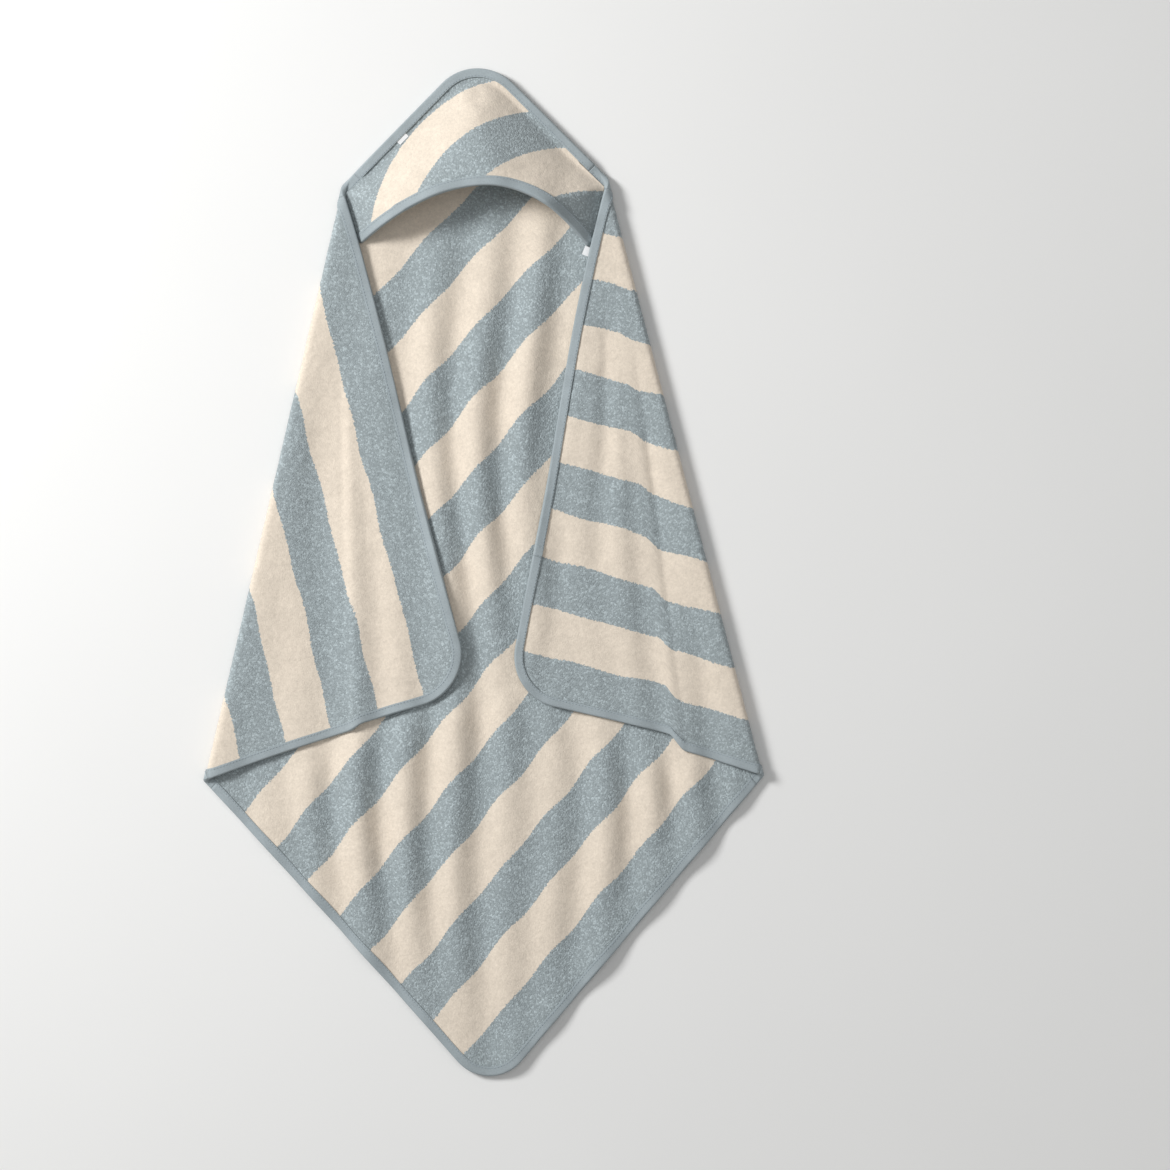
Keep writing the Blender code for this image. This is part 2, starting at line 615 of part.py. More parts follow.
def build_hood(collection):
    shares = [step / HOOD_FRONT_STEPS for step in range(HOOD_FRONT_STEPS + 1)]
    front = [hood_front(share) for share in shares]
    front_inner = [hood_front(share, TAPE_WIDTH) for share in shares[1:-1]]
    seam = [lay(edge_point(walk)) for walk in HOOD_TOP_WALKS]
    seam_inner = [inner_point(walk, TAPE_WIDTH) for walk in HOOD_TOP_WALKS]
    seam_ease = [inner_point(walk, TAPE_WIDTH + HOOD_SEAM_EASE) for walk in HOOD_TOP_WALKS]
    left_end, right_end = [seam_inner[-1], seam_ease[-1]], [seam_ease[0], seam_inner[0]]
    outline = seam + left_end + LEFT_HOOD_SIDE[:-1] + front + RIGHT_HOOD_SIDE[-2::-1] + right_end
    cream = plain_material("hood_terry", TERRY_CREAM, 0.95)
    chains = [front_inner, seam_inner, seam_ease]
    cut_sheet("hood_panel", outline, chains, hood_surface, collection, cream, (HOOD_CELL, HOOD_CELL))
    frames = []
    reaches = []
    for share in shares[1:-1]:
        frames.append(edge_frame(hood_front(share), hood_front(share, TAPE_WIDTH), hood_surface))
        reaches.append(TAPE_REACH + HOOD_END_EASE * smooth(4 * abs(2 * share - 1) - 2.3))
    tape = plain_material("hood_front_tape", TAPE_GREY, 0.8)
    thread = plain_material("hood_front_thread", THREAD_GREY, 0.7)
    profiles = [tape_profile(frame, reach, reach) for frame, reach in zip(frames, reaches)]
    binding("hood_front_binding", profiles, collection, tape)
    stitching("hood_front_stitching", frames, reaches, collection, thread)


def flat_label(name, centre, along, normal, size, collection):
    """A small folded label lying on the cloth."""
    bpy.ops.mesh.primitive_cube_add(size=1.0)
    label = bpy.context.object
    label.name = name
    for other in list(label.users_collection):
        other.objects.unlink(label)
    collection.objects.link(label)
    label.scale = size
    bpy.ops.object.transform_apply(location=False, rotation=False, scale=True)
    across = normal.cross(along).normalized()
    along = across.cross(normal)
    turn = Matrix((along, across, normal)).transposed().to_4x4()
    label.matrix_world = Matrix.Translation(centre) @ turn
    label.data.materials.append(plain_material(f"{name}_cloth", LABEL_WHITE, 0.6))
    return label


def build_labels(collection):
    """A blank seam label at the hood's left and a care label at its right end."""
    size = (LABEL_LENGTH, LABEL_WIDTH, LABEL_THICKNESS)
    lift = SHEET_THICKNESS / 2 + LABEL_THICKNESS / 2 + 2 * CLEARANCE
    walk = walk_from_tip(LABEL_FROM_TIP)
    place = inner_point(walk, TAPE_WIDTH + LABEL_WIDTH)
    ahead = inner_point(walk + LABEL_LENGTH, TAPE_WIDTH + LABEL_WIDTH)
    normal = normal_of(hood_surface, place)
    along = (hood_surface(ahead) - hood_surface(place)).normalized()
    raised = lift + LABEL_CURVE_LIFT
    flat_label("seam_label", hood_surface(place) + normal * raised, along, normal, size, collection)
    end = RIGHT_HOOD_SIDE[-1]
    place = Vector((end.x - LABEL_WIDTH, end.y - LABEL_LENGTH))
    normal = normal_of(fold_over, place)
    along = Vector((0.4, 1.0, 0.0)).normalized()
    flat_label("care_label", fold_over(place) + normal * lift, along, normal, size, collection)


def build_join(frames, collection):
    """The short overlap where the tape's two ends meet, a sleeve over the right wing's tape."""
    walks = taped(RIGHT_WALKS)
    away = [abs(walk - (RIGHT_FOLD_TOP - JOIN_FROM_SHOULDER)) for walk in walks]
    before = min(away.index(min(away)), len(frames) - 2)
    gap = walks[before + 1] - walks[before]
    outside = TAPE_THICKNESS + CLEARANCE
    beside_stitches = (STITCH_INSET + THREAD_RADIUS + 2 * CLEARANCE) / TAPE_WIDTH
    profiles = []
    for share in (0.5 - JOIN_LENGTH / gap / 2, 0.5 + JOIN_LENGTH / gap / 2):
        edge, inset, edge_normal, inset_normal, outward = (
            here.lerp(there, share) for here, there in zip(frames[before], frames[before + 1]))
        inset = inset.lerp(edge, beside_stitches)
        edge = edge + outward * outside
        frame = edge, inset, edge_normal, inset_normal, outward
        profiles.append(tape_profile(frame, TAPE_REACH + outside, TAPE_REACH + outside))
    binding("right_wing_tape_join", profiles, collection, plain_material("join_tape", TAPE_GREY, 0.8))


def hang_on_axis(side, fold, collection):
    """Parents a wing's pieces to an empty on the line the wing turns about, at the cloth's outer face."""
    place = fold.top.lerp(fold.end, 0.5) + fold.outward * (SHEET_THICKNESS / 2 + CLEARANCE)
    centre = Vector((place.x, place.y, AXIS_LEVEL))
    pieces = [thing for thing in collection.objects if thing.name.startswith(f"{side}_wing")]
    axis = bpy.data.objects.new(f"{side}_fold_axis", None)
    axis.location = centre
    collection.objects.link(axis)
    for piece in pieces:
        piece.parent = axis
        piece.matrix_parent_inverse = Matrix.Translation(-centre)


def main():
    for thing in list(bpy.data.objects):
        bpy.data.objects.remove(thing)
    collection = bpy.data.collections.new("hooded_baby_towel")
    bpy.context.scene.collection.children.link(collection)
    build_back(collection)
    build_bottom_edge(collection)
    build_top_edge(collection)
    build_wing("left", LEFT_WALKS, LEFT_FOLD, collection)
    right_frames = build_wing("right", RIGHT_WALKS, RIGHT_FOLD, collection)
    build_join(right_frames, collection)
    build_hood(collection)
    build_labels(collection)
    hang_on_axis("left", LEFT_FOLD, collection)
    hang_on_axis("right", RIGHT_FOLD, collection)


main()
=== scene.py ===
"""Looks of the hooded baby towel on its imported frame: striped terry, folded sides, domed hood, bound edges.

The towel is one cut of cloth. Each point has a flat place (u to the right, v towards the hood tip), is laid
on the floor plan (x, y), and is folded over at the two sides, with the CAD's own sizes and formulas. The
cloth is made whole and then split between the CAD bodies, so that no seam shows where two pieces meet.
"""
import math

import bpy
import numpy as np
from mathutils.geometry import delaunay_2d_cdt
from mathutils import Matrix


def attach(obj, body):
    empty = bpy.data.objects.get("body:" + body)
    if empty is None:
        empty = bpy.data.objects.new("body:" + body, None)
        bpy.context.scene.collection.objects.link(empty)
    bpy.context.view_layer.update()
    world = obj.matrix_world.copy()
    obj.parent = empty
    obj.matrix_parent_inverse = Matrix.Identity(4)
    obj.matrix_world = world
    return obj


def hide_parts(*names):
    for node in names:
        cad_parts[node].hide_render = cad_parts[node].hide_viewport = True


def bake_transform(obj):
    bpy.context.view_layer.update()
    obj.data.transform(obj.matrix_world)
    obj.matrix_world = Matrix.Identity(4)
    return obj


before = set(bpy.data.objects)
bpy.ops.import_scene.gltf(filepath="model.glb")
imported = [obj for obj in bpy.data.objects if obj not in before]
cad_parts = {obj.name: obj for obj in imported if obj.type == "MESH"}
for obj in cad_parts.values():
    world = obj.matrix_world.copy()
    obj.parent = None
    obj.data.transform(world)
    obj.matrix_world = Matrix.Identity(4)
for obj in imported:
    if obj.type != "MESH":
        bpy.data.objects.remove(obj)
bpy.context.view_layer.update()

# ---------------------------------------------------------------- the CAD's sizes, in metres
TOWEL_SIDE = 0.762
CORNER_RADIUS = 0.052
SHEET_THICKNESS = 0.003
TAPE_WIDTH = 0.0085
TAPE_THICKNESS = 0.0008
TAPE_CLEARANCE = 0.0007
CLEARANCE = 0.0003
LEFT_SHOULDER, RIGHT_SHOULDER = 0.203, 0.191
LEFT_TUCK, RIGHT_TUCK = 0.302, 0.2945
FOLD_RADIUS = 0.0045
LAYER_STEP = 0.0070
HOOD_LEG = 0.270
HOOD_HEIGHT = 0.048
HOOD_SEAM_EASE = 0.004
HOOD_RISE_WIDTH = 0.085
HOOD_FULLNESS = 2.2
HOOD_EASE_SHARE = 0.06
HOOD_ARC_RISE = 0.059
HOOD_ARC_SKEW = 0.25
RELAX_START, RELAX_LENGTH = 0.10, 0.30
BIAS_STRETCH = 0.048
LEFT_NARROWING, RIGHT_NARROWING = 0.050, 0.079
LEFT_LOWER_NARROWING, RIGHT_LOWER_NARROWING = 0.0215, 0.040
LOWER_START, LOWER_LENGTH = 0.50, 0.22
SIDE_DROOP = 0.014
LEAN = 0.0136
DRAPE_HEIGHT, DRAPE_PITCH = 0.006, 0.095
JOIN_LENGTH = 0.012
JOIN_FROM_SHOULDER = 0.415

HALF_DIAGONAL = TOWEL_SIDE / math.sqrt(2)
PERIMETER = 4 * TOWEL_SIDE - (8 - 2 * math.pi) * CORNER_RADIUS
QUARTER = PERIMETER / 4
CORNER_ARC = CORNER_RADIUS * math.pi / 2
CORNER_SKIP = CORNER_RADIUS - CORNER_ARC / 2
TAPE_REACH = SHEET_THICKNESS / 2 + TAPE_CLEARANCE + TAPE_THICKNESS / 2
EDGE_LEVEL = TAPE_REACH + TAPE_THICKNESS / 2 + 2 * CLEARANCE
SHEET_LEVEL = SHEET_THICKNESS / 2
HOOD_STEP = SHEET_THICKNESS + CLEARANCE
BEND_HALF = FOLD_RADIUS * math.pi / 2
AXIS_LEVEL = (SHEET_LEVEL + EDGE_LEVEL + DRAPE_HEIGHT + LAYER_STEP) / 2
FOLD_BLEND = 0.050
EDGE_BLEND = 0.030

# ---------------------------------------------------------------- the looks' own sizes
STRIPE_WIDTH = 0.0508
HOOD_STRIPE_RATE = 24.2       # stripes per metre down the hood's right seam, at its tip
HOOD_STRIPE_EASE = 26.2       # how that rate falls away down the seam
HOOD_STRIPE_TWIST = 5.9
HOOD_STRIPE_BULGE = 0.68      # of a stripe, taken up by the dome half way down the left seam
HOOD_BULGE_LENGTH = 0.196
HOOD_SIDE_START = 0.16        # share of the hood's free side that is out of sight under the shoulder
HOOD_SIDE_GAP = 0.0010
HOOD_TOP_CLEAR = 2.3          # half bends, from a fold to the hood's sewn edge
HOOD_DENT = 0.0022
HOOD_WEAVE_SHIFT = (1, 1, 0)  # in the weave, away from the towel's
HOOD_SEAM_UNDER_TAPE = 0.0008
CLOTH_CELL = 0.0034           # mesh spacing
FOLD_ROW_STEP = 0.0012
FOLD_ROW_CELL = 0.0030
BORDER = BEND_HALF + 0.0035   # from the fold, where its own piece meets the back's and the wing's
BEND_CLEAR = 1.1 * BEND_HALF  # from the fold's middle, where its own tape ends
BROAD_HEIGHT = 0.0022         # the CAD's broad folds, lowered to leave height for the small ones
RIPPLE_HEIGHT = DRAPE_HEIGHT - BROAD_HEIGHT
RIPPLE_PITCH = 0.056
RIPPLE_LEAD = 0.05            # how much nearer the tip the small folds start than the broad ones
WING_SAG = 0.0036             # how far a wing's own folds sink towards the back
WING_SAG_EASE = 0.030         # from a wing's edges and crease to where it sinks by that much
WING_SAG_START, WING_SAG_LENGTH = 0.08, 0.25  # the same, from the shoulder
WING_RIPPLE_TURN = 0.120      # radians between the folds that fan out from a shoulder
WING_TURN = 0.43              # from a side fold to its wing's free edge
WING_REACH = 0.45             # from the shoulder to a wing's far corner, roughly
WING_LOWER_SLOPE = 0.72       # of a wing's lower edge, rising from the end of its fold
CREASE_WIDTH = 0.012
CREASE_FALL = 0.010           # from the crease's ridge towards the fold, to where the cloth is low
STRIPE_SWAY = 0.0012          # how far the small folds shift the stripes
OPEN_FOLD_HEIGHT = 0.0080     # added to the folds where the back is not under a wing
OPEN_EASE = 0.060             # from a wing's edge to where they have that height
OPEN_EDGE_EASE = 0.090        # the same, from the tape
PILE_HEIGHT = 0.00032
PILE_EDGE = 0.004             # the loops are laid flat by the tape over this width
UNDERSIDE_SHIFT = 0.02        # in the weave, so that the two faces have loops of their own
TAPE_STATION = 0.0034
BEND_STATION = 0.0009         # the same, where the tape is bent round a fold
TAPE_OVER_EDGE = 0.0015
TAPE_PUCKER = 0.00016
PUCKER_START, PUCKER_LENGTH = 0.004, 0.006
TAPE_ROUND = 0.04             # in the tape's weave, once round its profile
HOOD_FRONT_WALK = 0.27        # in the tape's weave, along the hood's front edge
OVERLAP_SINK = 0.0001
OVERLAP_END_DIP = 0.0004      # where the overlap's two ends are pressed down
OVERLAP_STATIONS = 9
OVERLAP_INSETS = np.linspace(0.0012, 0.0092, 9)  # of the stitches across it
STITCH_LENGTH, STITCH_GAP = 0.0027, 0.0008
STITCH_RADIUS = 0.00036
STITCH_FROM_EDGE = 0.0069
STITCH_SIDES = 6
STITCH_PROFILE = (0.55, 0.95, 1.0, 0.95, 0.55)  # of its radius, from end to end
LABEL_LENGTH, LABEL_WIDTH, LABEL_THICKNESS = 0.013, 0.007, 0.0006
LABEL_LIFT = 0.0021
LABEL_COLUMNS, LABEL_ROWS = 14, 8
LABEL_FROM_TIP = 0.118        # along the left seam
CARE_LABEL_OFFSET = (0.0020, 0.0030)  # in and down from the right end of the hood's front edge
CARE_LABEL_ALONG = (0.37, 0.93)
FLOOR_SIZE, FLOOR_LEVEL = 30, -0.0006
FRAME_WIDTH = 1.2511          # of the floor, seen by the camera
FRAME_CENTRE = (0.1080, -0.0135)
CAMERA_HEIGHT = 3.6
SENSOR_WIDTH = 36             # millimetres, as the lens is
LIGHTS = (                    # name, place, size, watts
    ("key_light", (-2.3, 1.2, 2.0), 0.9, 105),
    ("top_light", (0.4, 0.3, 3.2), 2.6, 18),
    ("fill_light", (2.2, -1.4, 2.0), 2.4, 7),
)
WORLD_STRENGTH = 0.25

BLUE = (0.326, 0.375, 0.390)
CREAM = (0.712, 0.627, 0.525)
TAPE_BLUE = (0.335, 0.385, 0.405)
THREAD_BLUE = (0.285, 0.335, 0.365)
LABEL_WHITE = (0.82, 0.83, 0.84)
LABEL_SHADE = (0.66, 0.67, 0.69)
FLOOR_GREY = (0.80, 0.80, 0.79)


# ---------------------------------------------------------------- the flat cloth
def smooth(value):
    """0 up to 0, 1 from 1 on, with an S-curve between."""
    value = np.clip(value, 0.0, 1.0)
    return value * value * (3 - 2 * value)


def edge_point(walked, inset=0.0):
    """Flat points at distances walked along the edge: tip, left corner, bottom, right corner, tip."""
    side, along = np.divmod(np.asarray(walked, float) % PERIMETER, QUARTER)
    half_arc = CORNER_ARC / 2
    straight_end = QUARTER - half_arc
    reach = HALF_DIAGONAL - CORNER_RADIUS * math.sqrt(2)
    share = np.clip((along - half_arc) / (straight_end - half_arc), 0, 1)
    turn = (np.minimum(along, half_arc) + np.maximum(along - straight_end, 0)) / CORNER_RADIUS
    u = -reach * share - (CORNER_RADIUS - inset) * np.sin(turn)
    v = reach * (1 - share) + (CORNER_RADIUS - inset) * np.cos(turn)
    quarter_turn = side * math.pi / 2
    return np.stack([u * np.cos(quarter_turn) - v * np.sin(quarter_turn),
                     u * np.sin(quarter_turn) + v * np.cos(quarter_turn)], -1)


def edge_depth(flat):
    """How far flat points are inside the rounded square."""
    reach = TOWEL_SIDE / 2 - CORNER_RADIUS
    past_p = np.abs(flat[:, 0] + flat[:, 1]) / math.sqrt(2) - reach
    past_q = np.abs(flat[:, 0] - flat[:, 1]) / math.sqrt(2) - reach
    corner = np.hypot(np.maximum(past_p, 0), np.maximum(past_q, 0))
    beyond = np.where((past_p > 0) & (past_q > 0), corner, np.maximum(past_p, past_q))
    return CORNER_RADIUS - beyond


# ---------------------------------------------------------------- the cloth laid on the floor plan
def relax(depth):
    """How slack the cloth is at a depth below the tip: 0 near the tip, 1 further down."""
    return smooth((depth - RELAX_START) / RELAX_LENGTH)


def relax_sum(depth):
    """The slackness added up from the tip to a depth."""
    share = np.clip((depth - RELAX_START) / RELAX_LENGTH, 0, 1)
    past = np.maximum(depth - RELAX_START - RELAX_LENGTH, 0)
    return RELAX_LENGTH * (share**3 - share**4 / 2) + past


def lay_unshifted(flat):
    """Flat points laid on the floor plan: narrowed, stretched on the bias and leaning a little."""
    u, v = flat[..., 0], flat[..., 1]
    depth = HALF_DIAGONAL - v
    across = (u / HALF_DIAGONAL + 1) / 2
    upper = LEFT_NARROWING + (RIGHT_NARROWING - LEFT_NARROWING) * across
    lower = LEFT_LOWER_NARROWING + (RIGHT_LOWER_NARROWING - LEFT_LOWER_NARROWING) * across
    narrowing = upper * relax(depth) + lower * smooth((depth - LOWER_START) / LOWER_LENGTH)
    x = u * (1 - narrowing) + LEAN * (depth / (2 * HALF_DIAGONAL) - 0.5)
    y = v - BIAS_STRETCH * relax_sum(depth) - SIDE_DROOP * (u / HALF_DIAGONAL) ** 2
    return np.stack([x, y], -1)


LEFT_FOLD_WALKS = (LEFT_SHOULDER - CORNER_SKIP, QUARTER + LEFT_TUCK - CORNER_SKIP)
RIGHT_FOLD_WALKS = (PERIMETER - RIGHT_SHOULDER + CORNER_SKIP, 3 * QUARTER - RIGHT_TUCK + CORNER_SKIP)


def middle_shift():
    """Puts the origin under the middle of the folded towel."""
    walks = [LEFT_FOLD_WALKS[1], RIGHT_FOLD_WALKS[1], 0, 2 * QUARTER]
    left, right, top, bottom = lay_unshifted(edge_point(walks))
    return np.array([-(left[0] + right[0]) / 2, -(top[1] + bottom[1]) / 2])


MIDDLE_SHIFT = middle_shift()


def lay(flat):
    """Where flat points lie on the floor plan."""
    return lay_unshifted(np.asarray(flat, float)) + MIDDLE_SHIFT


def laid_edge(walks, inset=0.0):
    """Points of the laid cloth's edge, or this far in from it."""
    return lay(edge_point(walks, inset))


def unlay(plan):
    """The flat points that lie at these plan points, found by repeated correction."""
    flat = plan.copy()
    for _ in range(12):
        flat += plan - lay(flat)
    return flat


class Fold:
    """A side fold: its outermost line on the floor plan, the way out, and the crease in its wing."""

    def __init__(self, walks, crease_turn, crease_step):
        self.top, self.end = laid_edge(walks)
        run = self.top - self.end
        self.along = run / np.linalg.norm(run)
        side = 1 if self.top[0] > 0 else -1
        self.outward = np.array([self.along[1], -self.along[0]]) * side
        self.crease_turn = crease_turn
        self.crease_step = crease_step

    def beyond(self, plan):
        """Distance out past the fold's outermost line."""
        return (plan - self.top) @ self.outward

    def past(self, plan):
        """Cloth distance past the middle of the bend, negative on the back's side."""
        return self.beyond(plan) - (BEND_HALF - FOLD_RADIUS)

    def fan(self, place):
        """Distance from the shoulder and turn away from the fold, for places on the wing."""
        inward, down = -self.beyond(place), -(place - self.top) @ self.along
        return np.hypot(inward, down), np.arctan2(inward, np.maximum(down, 1e-6))

    def clear_of_wing(self, plan):
        """0 under this fold's wing, rising to 1 a little way outside its edges."""
        reach, turn = self.fan(plan)
        past_free_edge = (turn - WING_TURN) * reach
        length = np.linalg.norm(self.top - self.end)
        past_lower_edge = reach * np.cos(turn) - length + WING_LOWER_SLOPE * reach * np.sin(turn)
        return smooth(np.maximum(past_free_edge, past_lower_edge) / OPEN_EASE)

    def over_crease(self, place):
        """Slides the wing's cloth along the fold, so that its stripes and edge step down at the crease."""
        reach, turn = self.fan(place)
        fold_side = smooth((self.crease_turn - turn) * reach / CREASE_WIDTH + 0.5)
        slide = self.crease_step * reach / WING_REACH * (fold_side - np.clip(1 - turn / WING_TURN, 0, 1))
        return place - self.along * slide[:, None]

    def sag(self, place, over):
        """How far the wing's cloth sinks between its own folds, which fan out from the shoulder."""
        reach, turn = self.fan(place)
        wave = 2 * math.pi * turn / WING_RIPPLE_TURN + 0.8 * np.sin(11.0 * reach) + 0.5
        hollow = 0.5 + 0.5 * np.sin(wave) * (0.75 + 0.25 * np.sin(23.0 * turn + 9.0 * reach))
        from_crease = (turn - self.crease_turn) * reach
        beside = smooth(-from_crease / CREASE_FALL) * np.clip(1.4 * turn / self.crease_turn, 0, 1)
        hollow = np.where(from_crease > 0, hollow * smooth(from_crease / WING_SAG_EASE), beside)
        from_edge = (WING_TURN - turn) * reach
        hollow = WING_SAG * hollow * smooth(over / WING_SAG_EASE) * smooth(from_edge / WING_SAG_EASE - 0.2)
        return hollow * smooth((reach - WING_SAG_START) / WING_SAG_LENGTH)

    def turned(self, plan):
        """Middle of the cloth in space, for laid points on this fold's side of the towel."""
        past, beyond = self.past(plan), self.beyond(plan)
        turn = np.clip(past, -BEND_HALF, BEND_HALF) / FOLD_RADIUS
        over = np.maximum(past - BEND_HALF, 0)
        reach = FOLD_RADIUS * (1 - np.cos(turn)) + over
        on_back = past <= -BEND_HALF
        place = np.where(on_back[:, None], plan, plan - self.outward * (beyond + reach)[:, None])
        on_wing = past >= BEND_HALF
        place[on_wing] = self.over_crease(place[on_wing])
        level = AXIS_LEVEL + FOLD_RADIUS * np.sin(turn)
        level[on_back] = back_level(place[on_back])
        step = LAYER_STEP + (2 * FOLD_RADIUS - LAYER_STEP) * smooth(1 - over[on_wing] / FOLD_BLEND)
        level[on_wing] = back_level(place[on_wing]) + step - self.sag(place[on_wing], over[on_wing])
        return np.column_stack([place, level])


LEFT_FOLD = Fold(LEFT_FOLD_WALKS, crease_turn=0.250, crease_step=0.004)
RIGHT_FOLD = Fold(RIGHT_FOLD_WALKS, crease_turn=0.127, crease_step=0.011)
FOLDS = (LEFT_FOLD, RIGHT_FOLD)


def ripple_wave(u, v):
    """Angle of the small folds' wave, which winds a little on its way down the cloth."""
    return 2 * math.pi * u / RIPPLE_PITCH + 1.5 * np.sin(5.3 * v + 0.6)


def small_folds(flat):
    """Height of the small soft folds that run down the cloth, from 0 up."""
    u, v = flat[:, 0], flat[:, 1]
    wave = ripple_wave(u, v) + 0.8 * np.sin(13.0 * v + 9.0 * u)
    strength = 0.68 + 0.32 * np.sin(6.1 * v - 17.0 * u + 1.0)
    return RIPPLE_HEIGHT * (0.5 + 0.5 * np.sin(wave)) * strength * relax(HALF_DIAGONAL - v + RIPPLE_LEAD)


def back_level(plan):
    """Height of the middle of the back's cloth over places on the floor."""
    flat = unlay(plan)
    from_tape = edge_depth(flat) - TAPE_WIDTH
    level = SHEET_LEVEL + (EDGE_LEVEL - SHEET_LEVEL) * smooth(1 - from_tape / EDGE_BLEND)
    crest = (1 - np.cos(2 * math.pi * flat[:, 0] / DRAPE_PITCH)) / 2
    level += BROAD_HEIGHT * crest * relax(HALF_DIAGONAL - flat[:, 1])
    open_back = LEFT_FOLD.clear_of_wing(plan) * RIGHT_FOLD.clear_of_wing(plan)
    open_back *= smooth(from_tape / OPEN_EDGE_EASE)
    level += small_folds(flat) * (1 + open_back * OPEN_FOLD_HEIGHT / RIPPLE_HEIGHT)
    for fold in FOLDS:
        near = smooth(1 + fold.beyond(plan) / FOLD_BLEND)
        level += (AXIS_LEVEL - FOLD_RADIUS - level) * near
    return level


def distance_past(plan):
    """Signed cloth distance past the nearer fold, and whether that is the left one."""
    pasts = np.stack([fold.past(plan) for fold in FOLDS])
    return pasts.max(0), pasts.argmax(0) == 0


def fold_over(plan):
    """Middle of the cloth in space, for points of the laid cloth before folding."""
    plan = np.asarray(plan, float)
    _, on_left = distance_past(plan)
    folded = np.empty((len(plan), 3))
    folded[on_left] = LEFT_FOLD.turned(plan[on_left])
    folded[~on_left] = RIGHT_FOLD.turned(plan[~on_left])
    return folded


# ---------------------------------------------------------------- the hood
def walks_clear_of_folds(walks, bends):
    """The walks that are more than this many half bends short of a fold."""
    past, _ = distance_past(laid_edge(walks))
    return walks[past < -bends * BEND_HALF]


def hood_side(fold_walk, leg_walk):
    """The hood's free side below a shoulder, on the floor plan, just clear of the folded wing's tape."""
    walks = fold_walk + (leg_walk - fold_walk) * np.linspace(HOOD_SIDE_START, 1, 10)
    on_wing = fold_over(laid_edge(walks))
    beside = np.where(on_wing[:, :1] < 0, 1, -1) * [1, 0]
    return on_wing[:, :2] + beside * (TAPE_OVER_EDGE + HOOD_SIDE_GAP)


SHOULDER_WALKS = np.linspace(RIGHT_FOLD_WALKS[0] - PERIMETER, LEFT_FOLD_WALKS[0], 130)
HOOD_TOP_WALKS = walks_clear_of_folds(SHOULDER_WALKS, HOOD_TOP_CLEAR)
LEFT_HOOD_SIDE = hood_side(LEFT_FOLD_WALKS[0], HOOD_LEG - CORNER_SKIP)
RIGHT_HOOD_SIDE = hood_side(RIGHT_FOLD_WALKS[0], PERIMETER - HOOD_LEG + CORNER_SKIP)


def hood_front(share, inset=0.0):
    """The hood's front edge on the floor plan, from its left end (0) to its right end (1)."""
    left, right = LEFT_HOOD_SIDE[-1], RIGHT_HOOD_SIDE[-1]
    rise = 4 * share * (1 - share) * (1 + HOOD_ARC_SKEW * (2 * share - 1)) * HOOD_ARC_RISE
    slope = 4 * (1 - 2 * share + HOOD_ARC_SKEW * (6 * share * (1 - share) - 1)) * HOOD_ARC_RISE
    inward = np.stack([-slope, np.full_like(slope, right[0] - left[0])], -1)
    inward /= np.linalg.norm(inward, axis=1, keepdims=True)
    place = left + (right - left) * share[:, None]
    place[:, 1] += rise
    return place + inward * inset


def distance_to_path(plan, path):
    """Shortest distances from points to a chain of straight lines."""
    best = np.full(len(plan), 1.0)
    for start, end in zip(path[:-1], path[1:]):
        run = end - start
        share = np.clip((plan - start) @ run / (run @ run), 0, 1)
        best = np.minimum(best, np.linalg.norm(plan - start - run * share[:, None], axis=1))
    return best


def inside_outline(plan, outline):
    """Whether points are inside a closed outline, by counting the crossings of a ray."""
    inside = np.zeros(len(plan), bool)
    for start, end in zip(outline, np.roll(outline, -1, 0)):
        if start[1] == end[1]:
            continue
        crosses = (start[1] > plan[:, 1]) != (end[1] > plan[:, 1])
        reach = start[0] + (plan[:, 1] - start[1]) / (end[1] - start[1]) * (end[0] - start[0])
        inside ^= crosses & (reach > plan[:, 0])
    return inside


def seam_path(walks, side, inset):
    """One seam line inside the tape, from the tip down, with the hood's free side."""
    return np.vstack([laid_edge(walks, inset), side])


SEAM_INSET = TAPE_WIDTH + HOOD_SEAM_EASE
LEFT_SEAM = seam_path(HOOD_TOP_WALKS[HOOD_TOP_WALKS >= 0], LEFT_HOOD_SIDE, SEAM_INSET)
RIGHT_SEAM = seam_path(HOOD_TOP_WALKS[HOOD_TOP_WALKS <= 0][::-1], RIGHT_HOOD_SIDE, SEAM_INSET)


def hood_surface(plan):
    """Middle of the hood's cloth: flat along its seams and domed inside them, with a few soft dents."""
    left = np.maximum(distance_to_path(plan, LEFT_SEAM), 1e-5)
    right = np.maximum(distance_to_path(plan, RIGHT_SEAM), 1e-5)
    inside = inside_outline(plan, np.vstack([RIGHT_SEAM[::-1], LEFT_SEAM]))
    share = np.where(inside, (left**-4 + right**-4) ** -0.25 / HOOD_RISE_WIDTH, 0.0)
    share = np.minimum(share * share / (share + HOOD_EASE_SHARE), 1.0)
    rise = HOOD_HEIGHT * (1 - (1 - share) ** HOOD_FULLNESS)
    dents = 0.5 + 0.5 * np.sin(62 * plan[:, 0] + 24 * plan[:, 1] + 2.0 * np.sin(30 * plan[:, 1]))
    rise -= HOOD_DENT * dents * smooth(share * 2.5)
    return np.column_stack([plan, back_level(plan) + HOOD_STEP + rise])


# ---------------------------------------------------------------- sheets of cloth
def triangulated(points, outline_count):
    """Triangles over plan points, whose first outline_count go round the outline."""
    ring = [(index, (index + 1) % outline_count) for index in range(outline_count)]
    plan, _, faces, *_ = delaunay_2d_cdt([tuple(point) for point in points], ring, [], 1, 1e-7)
    return np.array([tuple(point) for point in plan]), np.array(faces)


def vertex_normals(points, faces):
    """Normals at the points, each the mean of its triangles' by their area."""
    corners = points[faces]
    turned = np.cross(corners[:, 1] - corners[:, 0], corners[:, 2] - corners[:, 0])
    normals = np.zeros_like(points)
    for corner in range(3):
        np.add.at(normals, faces[:, corner], turned)
    return normals / np.maximum(np.linalg.norm(normals, axis=1, keepdims=True), 1e-12)


